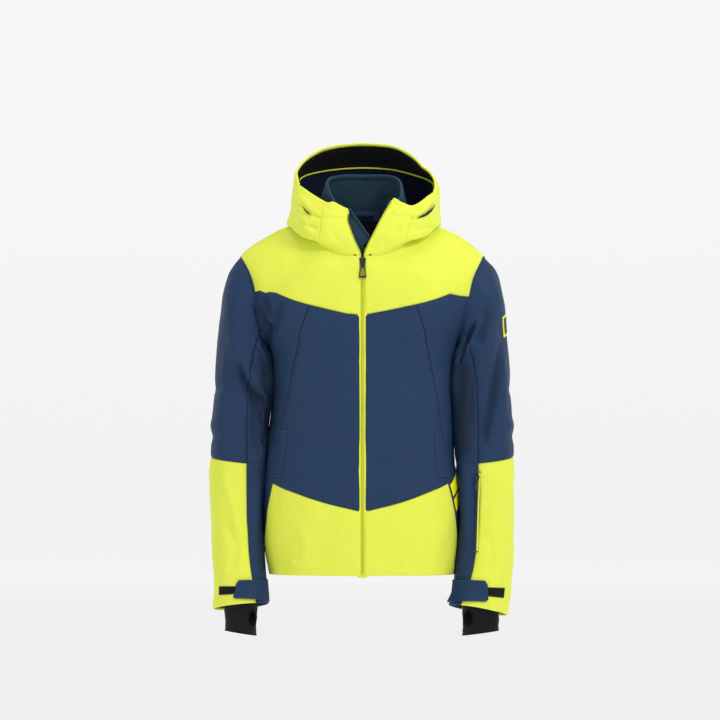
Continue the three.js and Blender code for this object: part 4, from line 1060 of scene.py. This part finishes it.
for s, nm in NAMES.items():
    def outer(k0, k1, s=s):
        def f(p, q):
            p, q = np.broadcast_arrays(p, q)
            k, psi = 5.0 + 0 * p, 0 * p
            for _ in range(6):
                psi = mix(-seam_psi(k), seam_psi(k), p)
                k = mix(k0(psi), k1(psi), q)
            return sleeve(s, psi, k)
        return f

    def under(k0, k1, s=s):
        def f(p, q):
            p, q = np.broadcast_arrays(p, q)
            k = mix(k0, k1, q)
            return sleeve(s, mix(seam_psi(k), 2 * math.pi - seam_psi(k), p), k)
        return f

    zero = lambda psi: 0.0 * psi
    end = lambda psi: 11.0 + 0.0 * psi
    o = sheet_piece(f"sleeve_upper_{nm}_cloth", outer(zero, block_k), n_of(240), n_of(400), NAVY, sgn=s, stitch=((0, 3.0), (1, 3.0)), calm=(2,), **SHELL)
    finish_piece(o, None, [f"sleeve_upper_{nm}"], elbow(s), thread=THREAD_N)
    o = sheet_piece(f"sleeve_under_upper_{nm}_cloth", under(0.0, UNDER_K), n_of(140), n_of(300), NAVY, sgn=s, seams=(1, 1, 1, 0), calm=(2, 3), **SHELL)
    finish_piece(o, None, [f"sleeve_under_upper_{nm}"], elbow(s))
    o = sheet_piece(f"forearm_outer_{nm}_cloth", outer(block_k, end), n_of(220), n_of(300), LIME, sgn=s, seams=(1, 1, 1, 0), rolls=(0, 0, 0, 16), stitch=((2, 4.0), (3, 12.0)), **SHELL)
    finish_piece(o, None, [f"forearm_outer_{nm}"], elbow(s))
    o = sheet_piece(f"forearm_under_{nm}_cloth", under(UNDER_K, 11.0), n_of(140), n_of(290), NAVY, sgn=s, seams=(1, 1, 0, 0), rolls=(0, 0, 0, 16), stitch=((3, 12.0),), calm=(2,), **SHELL)
    finish_piece(o, None, [f"forearm_under_{nm}"], elbow(s), thread=THREAD_N)
    tube = lambda p, q, s=s: sleeve(s, p * 2 * math.pi, mix(6.2, 10.95, q))
    o = sheet_piece(f"cuff_lining_{nm}_cloth", tube, n_of(300), n_of(300), LININGM, sgn=s, out=-7.5, wrap=True, seams=(0, 0, 0, 0), disp=lambda P, N: 1.6 * noise3(P / 26.0), puff=0, groove=0, thick=0.8)
    finish_piece(o, None, [f"cuff_lining_{nm}"], elbow(s), sheet=("stretched", [f"forearm_outer_{nm}_cloth"]))

    # the loop patch and the tab that closes on it
    o = sheet_piece(f"loop_patch_{nm}_pile", lambda p, q, s=s: sleeve(s, mix(40, 88, p) * DEG, mix(9.83, 10.28, q)), n_of(60), n_of(26), BLACK, sgn=s, out=2.0, thick=1.0, seams=(0, 0, 0, 0), puff=0, groove=0, stitch=((0, 1.6), (1, 1.6), (2, 1.6), (3, 1.6)))
    finish_piece(o, f"forearm_{nm}", [f"loop_patch_{nm}"], thread=THREAD_N)

    def tab_f(p, q, s=s):
        p, q = np.broadcast_arrays(np.asarray(p, float), np.asarray(q, float))
        round_end = 5.0 * np.clip(np.abs(q - 0.5) * 2 - 0.72, 0, 1) / 0.28
        stop = mix(84, 75, q) + round_end
        qq = q * (1 - 0.22 * p**1.5)
        return sleeve(s, mix(166, stop, p) * DEG, mix(9.60, 11.0, qq))

    o = sheet_piece(f"cuff_tab_{nm}_cloth", tab_f, n_of(90), n_of(50), NAVY, sgn=-s, out=5.3, thick=2.6, seams=(0, 0, 0, 0), puff=0.9, groove=0.8, rolls=(0, 0, 0, 0), disp=lambda P, N: 0.5 * noise3(P / 17.0), stitch=((1, 2.6), (2, 2.6), (3, 2.6)))
    bev = o.modifiers.new("edge", "BEVEL")
    bev.width, bev.segments, bev.limit_method = 0.0008, 2, "ANGLE"
    # the tab is sewn down at its root; the root line is passed to finish_piece, which only bakes the tab in place
    root = [tuple(to_row(sleeve(s, a * DEG, np.array(10.2)))) for a in (160, 138)]
    finish_piece(o, None, [f"cuff_tab_{nm}"], (f"forearm_{nm}", f"cuff_tab_{nm}", *root), thread=THREAD_N)

    # wrist gaiter with its thumb hole
    cx, cy = (236 if s > 0 else 243), -26

    def gaiter_f(p, q, s=s, cx=cx, cy=cy):
        psi = p * 2 * math.pi
        z = mix(-742, -834 + 5 * np.cos(psi), q)
        k = np.minimum(1, q * 1.3)
        w, d = mix(37, 36 if s > 0 else 31, k), mix(38, 31, k)
        return np.stack([s * (cx + w * np.cos(psi)), cy - d * np.sin(psi), z], -1)

    g = sheet_piece(f"wrist_gaiter_{nm}_jersey", gaiter_f, n_of(220) + 12, n_of(95) + 8, GAITER, sgn=s, wrap=True, seams=(0, 0, 0, 0), disp=lambda P, N: 0.9 * noise3(P / [26, 26, 9]) + 0.6 * noise3(P / [9, 9, 40]), puff=0, groove=0, thick=0)
    ang = 0.75 if s > 0 else -0.75
    ax, bx = np.array([math.cos(ang), math.sin(ang), 0]), np.array([-math.sin(ang), math.cos(ang), 0])
    c = np.array([s * (cx - 30), cy - 26, -806.0])
    bm = bmesh.new()
    bm.from_mesh(g.data)
    inside = {}
    for v in bm.verts:
        pv = np.array(v.co) * 1000 + [0, LOOP_Y, 0] - c
        l, zz, along_a = pv @ bx, pv[2], pv @ ax
        rho = math.hypot(l / 13, zz / 17.5)
        if rho < 1 and abs(along_a) < 24:
            inside[v] = (l, zz, rho)
    bmesh.ops.delete(bm, geom=[f for f in bm.faces if all(v in inside for v in f.verts)], context="FACES")
    for v, (l, zz, rho) in inside.items():
        if v.is_valid:
            k = 1 / max(rho, 0.2)
            d = bx * (l * k - l) + np.array([0, 0, zz * k - zz])
            v.co = v.co + Vector(d / 1000)
    bmesh.ops.delete(bm, geom=[v for v in bm.verts if not v.link_faces], context="VERTS")
    # the turned edges: of the hole and of the hem
    loops = []
    left = {e for e in bm.edges if e.is_boundary}
    while left:
        e = left.pop()
        chain = [e.verts[0], e.verts[1]]
        while True:
            nxt = [x for x in chain[-1].link_edges if x in left]
            if not nxt:
                break
            left.discard(nxt[0])
            chain.append(nxt[0].other_vert(chain[-1]))
        loops.append([np.array(v.co) * 1000 + [0, LOOP_Y, 0] for v in chain[:-1]])
    bm.to_mesh(g.data)
    bm.free()
    md = g.modifiers.new("thickness", "SOLIDIFY")
    md.thickness, md.offset = 0.0014, -1
    finish_piece(g, f"forearm_{nm}", [f"wrist_gaiter_{nm}"], sheet=("stretched", [f"cuff_lining_{nm}_cloth"]))
    for i, lp in enumerate(sorted(loops, key=len)):
        lp = np.array(lp)
        if len(lp) > 8 and lp[:, 2].mean() < -760:
            bead = tube_piece(f"wrist_gaiter_{nm}_edge_{i}", lp, 1.35, GAITER, sides=8, closed=True)
            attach(bead, f"forearm_{nm}")

# badge on the left sleeve: a plain framed patch
badge = lambda a0, a1, k0, k1: (lambda p, q: sleeve(1, mix(a0, a1, p) * DEG, mix(k0, k1, q)))
o = sheet_piece("sleeve_badge_border", badge(-14, 30, 2.62, 3.28), n_of(46), n_of(46), NEON, sgn=1, out=1.5, thick=0.8, seams=(0, 0, 0, 0), puff=0, groove=0)
finish_piece(o, "jacket", ["sleeve_badge"])
o = sheet_piece("sleeve_badge_field", badge(-9, 25, 2.70, 3.20), n_of(40), n_of(40), NAVY, sgn=1, out=1.95, thick=0.5, seams=(0, 0, 0, 0), puff=0, groove=0)
finish_piece(o, "jacket", [])

# ------------------------------------------------------------------ hood and collar
HOOD_BLEND = ("jacket", "hood", (0, -0.0485, 0.047), (0, -0.0485 + 0.053, 0.047 + 0.106))


def cowl_patch(s0, s1, w0, w1):
    return lambda p, q: cowl(mix(s0, s1, p), mix(w0, w1, q))


def cowl_normal(s, w):
    s, w = np.asarray(s, float), np.asarray(w, float)
    n = np.cross(cowl(s + 0.02, w) - cowl(s - 0.02, w), cowl(s, w + 0.02) - cowl(s, w - 0.02))
    return -n / np.linalg.norm(n, axis=-1)[..., None]


# soft folds of the hood: points in (s, w), half width and height in millimetres
def hood_relief(P, N):
    h = 2.0 * noise3(P / 48.0 + 2.2) + 1.0 * noise3(P / 22.0 + 7.7) + 0.4 * noise3(P / 11.0 + 1.7)
    x, z = P[..., 0], P[..., 2]
    face = smooth(-N[..., 1], -0.05, 0.45)
    for pts, w, a, sh in HOOD_FOLDS:
        h = h + face * stroke(x, z, pts, w, a, sh)
    return h


HOOD_FOLDS = [
    (spots((312, 216.5), (321, 218.3), (341, 218.6), (350, 220)), 1.7, -2.2, 1.0),
    (spots((389, 213), (400, 217.9), (408, 219.4), (417, 219.4)), 1.7, -2.2, 1.0),
    (spots((293, 205), (303, 207), (312, 216), (321, 218)), 4, -3.4, 0.9),
    (spots((441, 203), (431, 211), (417, 219), (400, 217)), 4, -3.2, 0.9),
    (spots((288, 226), (303, 225), (318, 230)), 4, -2.6, 1.0),
    (spots((443, 228), (428, 228), (414, 232)), 4, -2.4, 1.0),
    (spots((300, 214), (308, 230), (322, 242)), 8, 2.2, 1.0),
    (spots((434, 214), (424, 230), (410, 240)), 8, 2.0, 1.0),
    (spots((330, 226), (336, 238), (348, 250)), 7, -1.6, 1.0),
    (spots((400, 226), (392, 238), (380, 248)), 7, -1.6, 1.0),
    (spots((296, 186), (300, 198), (310, 206)), 6, 1.8, 1.0),
    (spots((437, 190), (432, 200), (424, 208)), 6, 1.8, 1.0),
]
o = sheet_piece("collar_front_right_cloth", cowl_patch(-0.05, HOOD_FRONT, 0, 4), n_of(90), n_of(105), LIME, sgn=-1, disp=hood_relief, puff=0, seams=(0, 0, 1, 0), rolls=(6, 0, 0, 8), thick=2.0, stitch=((0, 4.5), (3, 4.5)), calm=(2,))
finish_piece(o, "jacket", ["collar_front_right"])
o = sheet_piece("collar_front_left_cloth", cowl_patch(HOOD_END, 16.05, 0, 4), n_of(90), n_of(105), LIME, sgn=-1, disp=hood_relief, puff=0, seams=(0, 0, 1, 0), rolls=(0, 6, 0, 8), thick=2.0, stitch=((1, 4.5), (3, 4.5)), calm=(2,))
finish_piece(o, "jacket", ["collar_front_left"])
o = sheet_piece("hood_base_band_cloth", cowl_patch(HOOD_FRONT, HOOD_END, 0, BAND_TOP), n_of(600), n_of(70), LIME, sgn=-1, disp=hood_relief, puff=0, seams=(0, 0, 1, 1), thick=2.0, calm=(2,))
finish_piece(o, "jacket", ["hood_base_band"])
for nm2, a, b, sewn in (("hood_side_right", HOOD_FRONT, 6, (0, 1, 1, 0)), ("hood_centre", 6, 10, (1, 1, 1, 0)), ("hood_side_left", 10, HOOD_END, (1, 0, 1, 0))):
    o = sheet_piece(nm2 + "_cloth", cowl_patch(a, b, BAND_TOP, 4), n_of(260), n_of(190), LIME, sgn=-1, disp=hood_relief, puff=0, seams=sewn, rolls=(0, 0, 0, 8), thick=2.0, stitch=((3, 4.5),))
    finish_piece(o, None, [nm2], HOOD_BLEND)
lining_relief = lambda P, N: 2.4 * noise3(P / [13, 13, 60]) - 1.6
o = sheet_piece("hood_lining_cloth", cowl_patch(HOOD_FRONT - 0.4, HOOD_END + 0.4, 0.1, 3.14), n_of(500), n_of(160), LININGM, sgn=-1, out=-6.6, disp=lining_relief, seams=(0, 0, 0, 0), puff=0, thick=0.8)
finish_piece(o, None, ["hood_lining"], HOOD_BLEND, sheet=("stretched", ["hood_centre_cloth"]))
o = sheet_piece("hood_rim_facing_cloth", cowl_patch(HOOD_FRONT - 0.4, HOOD_END + 0.4, 3.14, 3.97), n_of(500), n_of(60), BLACK, sgn=-1, out=-6.6, disp=lambda P, N: 0.7 * noise3(P / 30.0), seams=(0, 0, 1, 0), puff=0, thick=0.8)
finish_piece(o, None, ["hood_rim_facing"], HOOD_BLEND, sheet=("stretched", ["hood_centre_cloth"]))
# the seam allowance inside the neck seam
ss = np.linspace(0.3, 15.7, 170)
o = tube_piece("neck_seam", cowl(ss, 0.0 * ss) + np.array([0, 0, -0.5]), np.interp(ss, [0.3, 1.4, 3.0, 13.0, 14.6, 15.7], [1.3, 1.6, 4.2, 4.2, 1.6, 1.3]), LIME, sides=10)
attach(o, "jacket")
ss = np.linspace(HOOD_FRONT - 0.3, HOOD_END + 0.3, 150)
pipe = cowl(ss, 3.13 + 0 * ss) - cowl_normal(ss, 3.13 + 0 * ss) * 9.9
o = tube_piece("hood_piping", pipe, 1.6, LIME, sides=8)
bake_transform(o)


def slit(name, upper, lower, body_piece):
    """A dark lens of lining, laid on the cloth between the hood's rim and the collar: partly the lining seen there,
    mostly painted shade standing in for the recess.
    """
    src = PIECES[body_piece]["Q"].reshape(-1, 3)
    verts = []
    n = 14
    u = np.linspace(0, 1, n)
    rows = []
    for pts in (upper, lower):
        pts = np.array(spots(*pts), float)
        c = np.concatenate([[0], np.cumsum(np.linalg.norm(np.diff(pts, axis=0), axis=1))])
        rows.append(np.stack([np.interp(u * c[-1], c, pts[:, i]) for i in (0, 1)], -1))
    for w in (0.0, 0.33, 0.67, 1.0):
        xz = rows[0] + (rows[1] - rows[0]) * w
        for x, z in xz:
            near = src[np.hypot(src[:, 0] - x, src[:, 2] - z) < 5.0]
            y = near[:, 1].min() if len(near) else -100.0
            verts.append((x, y - 0.7, z))
    idx = np.arange(4 * n).reshape(4, n)
    F = np.stack([idx[:-1, :-1], idx[1:, :-1], idx[1:, 1:], idx[:-1, 1:]], -1).reshape(-1, 4)
    ob = new_object(name, to_row(np.array(verts)), F, LININGM, np.array([(v[0] / 1000, v[2] / 1000) for v in verts]))
    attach(ob, "jacket")


# painted shade: dark lenses where the hood's rim meets the collar
slit("collar_slit_left", [(416.6, 218.9), (421, 216.4), (425.8, 213.6), (430.9, 209.6), (435, 204.6)], [(416.6, 219.1), (422, 218.2), (427, 216), (432, 211.8), (435.2, 205)], "hood_side_left_cloth")
slit("collar_slit_right", [(302.1, 206.6), (305.5, 209.8), (309, 213.2), (312.1, 216.2)], [(302.1, 206.9), (304.6, 210.8), (308, 214.4), (312.1, 216.5)], "hood_side_right_cloth")


def neck(p, q):
    p, q = np.broadcast_arrays(p, q)
    a, b = along(NECK_IN, p * 12), along(NECK_TOP, p * 12)
    return a + (b - a) * (q * 1.33 - 0.33)[..., None]


o = sheet_piece("inner_collar_cloth", neck, n_of(420), n_of(110), TEAL, sgn=-1, disp=lambda P, N: 1.6 * noise3(P / 28.0) + 0.6 * noise3(P / 12.0), seams=(0, 0, 0, 0), rolls=(3, 3, 0, 6), thick=2.2, puff=0, stitch=((3, 5.0),))
finish_piece(o, "jacket", ["inner_collar"], thread=THREAD_N)

# the draught flap behind the zip, folded out of the open collar on the right
FLAP = [[(a, yf(z) + 14, z), (b, yf(z) + 14, z)] for a, b, z in ((-18, 20, -712), (-18, 20, -500), (-18, 20, -300), (-18, 20, -160), (-17, 18, -104))]
FLAP += [[(-20, -98, -78), (9, -98, -75)], [(-24, -96, -64), (-1, -96, -64)], [(-28, -94, -52), (16, -94, -51)], [(-33, -91, -30), (2, -92, -29)], [(-38, -88, -10), (-12, -89, -9)], [(-37, -85, 6), (-25, -86, 7)]]
FLAP = np.array(FLAP, float)


def flap(p, q):
    p, q = np.broadcast_arrays(p, q)
    a, b = along(FLAP[:, 0], q * (len(FLAP) - 1)), along(FLAP[:, 1], q * (len(FLAP) - 1))
    return a + (b - a) * p[..., None]


o = sheet_piece("draught_flap_cloth", flap, n_of(38), n_of(760), TEAL, sgn=-1, disp=lambda P, N: 0.7 * noise3(P / 22.0), seams=(0, 0, 0, 0), rolls=(2, 2, 0, 2), thick=1.6, puff=0, stitch=((0, 3.0), (1, 3.0)))
finish_piece(o, "jacket", ["draught_flap"], sheet=("folded", ["inner_collar_cloth"]), thread=THREAD_N)

# ------------------------------------------------------------------ front zip
ZN = np.array([0, -1, ZIP_SLOPE])
ZN = ZN / np.linalg.norm(ZN)


def zip_stations(s, pitch):
    """Centres, outward (towards the cloth) and face directions of one side's zip, from the bottom to the hood's rim."""
    z = np.arange(ZIP_BOTTOM_Z + 6, ZIP_TOP_Z - 3, pitch)
    C = np.stack([np.full(z.shape, s * 0.8), yf(z), z], -1)
    O = np.tile([float(s), 0, 0], (len(z), 1))
    Fn = np.tile(ZN, (len(z), 1))
    w = np.linspace(0.22, 3.96, 90)
    e = 0.0 if s < 0 else 16.0
    i = 1.0 if s < 0 else 15.0
    c = cowl(e + 0 * w, w)
    inward = cowl(i + 0 * w, w) - c
    inward /= np.linalg.norm(inward, axis=1)[:, None]
    c = c - inward * 7.0
    cum = np.concatenate([[0], np.cumsum(np.linalg.norm(np.diff(c, axis=0), axis=1))])
    at = np.arange(0, cum[-1], pitch)
    c = np.stack([np.interp(at, cum, c[:, k]) for k in range(3)], -1)
    inward = np.stack([np.interp(at, cum, inward[:, k]) for k in range(3)], -1)
    t = np.gradient(c, axis=0)
    n = np.cross(t, inward)
    n /= np.linalg.norm(n, axis=1)[:, None]
    n = np.where(n[:, 1:2] > 0, -n, n)
    C, O, Fn = np.concatenate([C, c]), np.concatenate([O, inward]), np.concatenate([Fn, n])
    # ease the turn from the closed zip into the collar
    k = np.hanning(13)
    k /= k.sum()
    for A in (C, O, Fn):
        pad = np.concatenate([np.repeat(A[:1], 6, 0), A, np.repeat(A[-1:], 6, 0)])
        for j in range(3):
            sm = np.convolve(pad[:, j], k, "valid")
            A[8:-8, j] = sm[8:-8]
    O /= np.linalg.norm(O, axis=1)[:, None]
    Fn /= np.linalg.norm(Fn, axis=1)[:, None]
    return C, O, Fn


for s, nm in NAMES.items():
    C, O, Fn = zip_stations(s, 4.0)
    a = np.array([0.4, 2.2, 3.0, 5.5, 7.6, 9.4])
    depth = np.array([-2.4, -2.1, -1.3, -1.1, -1.3, -2.4])
    V = C[:, None] + O[:, None] * a[None, :, None] + Fn[:, None] * depth[None, :, None]
    idx = np.arange(V.shape[0] * len(a)).reshape(-1, len(a))
    F = np.stack([idx[:-1, :-1], idx[:-1, 1:], idx[1:, 1:], idx[1:, :-1]], -1).reshape(-1, 4)
    uv = np.stack(np.broadcast_arrays(a[None] / 1000, np.arange(V.shape[0])[:, None] * 0.004), -1)
    o = new_object(f"zip_tape_{nm}_woven", to_row(V.reshape(-1, 3)), F, TAPE, uv.reshape(-1, 2))
    md = o.modifiers.new("thickness", "SOLIDIFY")
    md.thickness, md.offset = 0.0009, 0
    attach(o, "jacket")
    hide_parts(f"zip_tape_{nm}")
    line = C + O * 4.4 - Fn * 1.0
    st = stitch_mesh(f"zip_tape_{nm}_stitching", [(line, Fn)], THREAD_L, 2.2, 1.1, 0.25)
    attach(st, "jacket")
    C, O, Fn = zip_stations(s, 1.0)
    pick = np.arange(0 if s > 0 else 1, len(C) - 3, 2)
    C, O, Fn = C[pick], O[pick], Fn[pick]
    closed = (C[:, 2] < -96)[:, None]
    a0 = np.where(closed, -1.9, -0.4)
    a1 = np.where(closed, 2.4, 2.9)
    T = np.cross(O, Fn)
    ring = []
    for aa in (a0, a1):
        for q in range(6):
            an = q / 6 * 2 * math.pi
            ring.append(C + O * aa + T * (0.62 * math.cos(an)) + Fn * (0.85 * math.sin(an) - 1.1))
    V = np.stack(ring, 1)
    idx = np.arange(len(C) * 12).reshape(-1, 12)
    F = [np.stack([idx[:, q], idx[:, (q + 1) % 6], idx[:, 6 + (q + 1) % 6], idx[:, 6 + q]], -1) for q in range(6)]
    F = [tuple(f) for f in np.concatenate(F)] + [tuple(f) for f in idx[:, 5::-1]] + [tuple(f) for f in idx[:, 6:]]
    o = new_object(f"zip_teeth_{nm}", to_row(V.reshape(-1, 3)), F, COIL)
    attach(o, "jacket")

# ------------------------------------------------------------------ sleeve pocket zip, on the left forearm's front seam
PZ = dict(a=np.array([231.99, -54.175, -516.25]), d=np.array([-0.033105, -0.076936, -0.996486]), n=np.array([-0.350686, -0.932748, 0.083666]), x=np.array([-0.935908, 0.352223, 0.003898]))
n_t = int(153.7 / 1.5)
at = (np.arange(n_t) + 0.5) * 1.5
C = PZ["a"] + PZ["d"] * at[:, None] + PZ["n"] * 4.6
ring = []
for aa in (-2.1, 2.1):
    for q in range(6):
        an = q / 6 * 2 * math.pi
        ring.append(C + PZ["x"] * aa + PZ["d"] * (0.55 * math.cos(an)) + PZ["n"] * (0.7 * math.sin(an)))
V = np.stack(ring, 1)
idx = np.arange(n_t * 12).reshape(-1, 12)
F = [np.stack([idx[:, q], idx[:, (q + 1) % 6], idx[:, 6 + (q + 1) % 6], idx[:, 6 + q]], -1) for q in range(6)]
F = [tuple(f) for f in np.concatenate(F)] + [tuple(f) for f in idx[:, 5::-1]] + [tuple(f) for f in idx[:, 6:]]
o = new_object("pocket_zip_coil", to_row(V.reshape(-1, 3)), F, DARKCOIL)
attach(o, "forearm_left")
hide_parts("pocket_zip")
for i, side in enumerate((-1, 1)):
    L = np.linspace(-1.5, 155.2, 40)
    cols = []
    for aa, dp in ((1.3, 4.1), (1.9, 4.7), (2.7, 4.5), (3.6, 3.0)):
        cols.append(PZ["a"] + PZ["d"] * L[:, None] + PZ["x"] * aa * side + PZ["n"] * dp)
    V = np.stack(cols, 1)
    idx = np.arange(V.shape[0] * 4).reshape(-1, 4)
    F = np.stack([idx[:-1, :-1], idx[:-1, 1:], idx[1:, 1:], idx[1:, :-1]], -1).reshape(-1, 4)
    o = new_object(f"pocket_zip_lip_{i}", to_row(V.reshape(-1, 3)), F, LIME if side < 0 else NAVY, np.stack(np.broadcast_arrays(np.arange(4)[None] * 0.0013, L[:, None] / 1000), -1).reshape(-1, 2))
    md = o.modifiers.new("thickness", "SOLIDIFY")
    md.thickness, md.offset = 0.0010, 0
    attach(o, "forearm_left")
lines = []
for at0 in (-2.5, 156.2):
    for row in (-1, 0, 1):
        pts = np.array([PZ["a"] + PZ["d"] * (at0 + row * 0.8) + PZ["n"] * 5.0 + PZ["x"] * v for v in (-5.5, 5.5)])
        lines.append((pts, np.tile(PZ["n"], (2, 1))))
o = stitch_mesh("pocket_zip_bar_tacks", lines, THREAD_N, 3.2, 0.4, 0.45)
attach(o, "forearm_left")

bm = bmesh.new()
bmesh.ops.create_cube(bm, size=1.0)
for v in bm.verts:
    q = np.array([v.co.x * 11.4, 0, 0]) + np.array([0, yf(-719), -719]) + ZN * (v.co.y * 4.4 - 2.2) + np.array([0, 0, 1]) * v.co.z * 7.0
    v.co = Vector(to_row(q))
bmesh.ops.recalc_face_normals(bm, faces=bm.faces)
me = bpy.data.meshes.new("zip_box_block")
bm.to_mesh(me)
bm.free()
me.materials.append(COIL)
o = bpy.data.objects.new("zip_box_block", me)
SCENE.collection.objects.link(o)
md = o.modifiers.new("edges", "BEVEL")
md.width, md.segments = 0.0010, 3
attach(o, "jacket")
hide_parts("zip_box")

# ------------------------------------------------------------------ hardware that keeps its CAD solid
for nm2, mat, width in (("zip_slider", METAL, 0.0006), ("zip_pull", METAL, 0.0005), ("pocket_slider", METAL, 0.0004), ("pocket_pull", METAL, 0.0003), ("hang_loop", NAVY, 0.0012)):
    ob = bpy.data.objects.get(nm2)
    if ob is None:
        print("no CAD object", nm2)
        continue
    ob.data.materials.clear()
    ob.data.materials.append(mat)
    md = ob.modifiers.new("edges", "BEVEL")
    md.width, md.segments, md.limit_method = width, 3, "ANGLE"

print("flat sizes", json.dumps(FLATS))
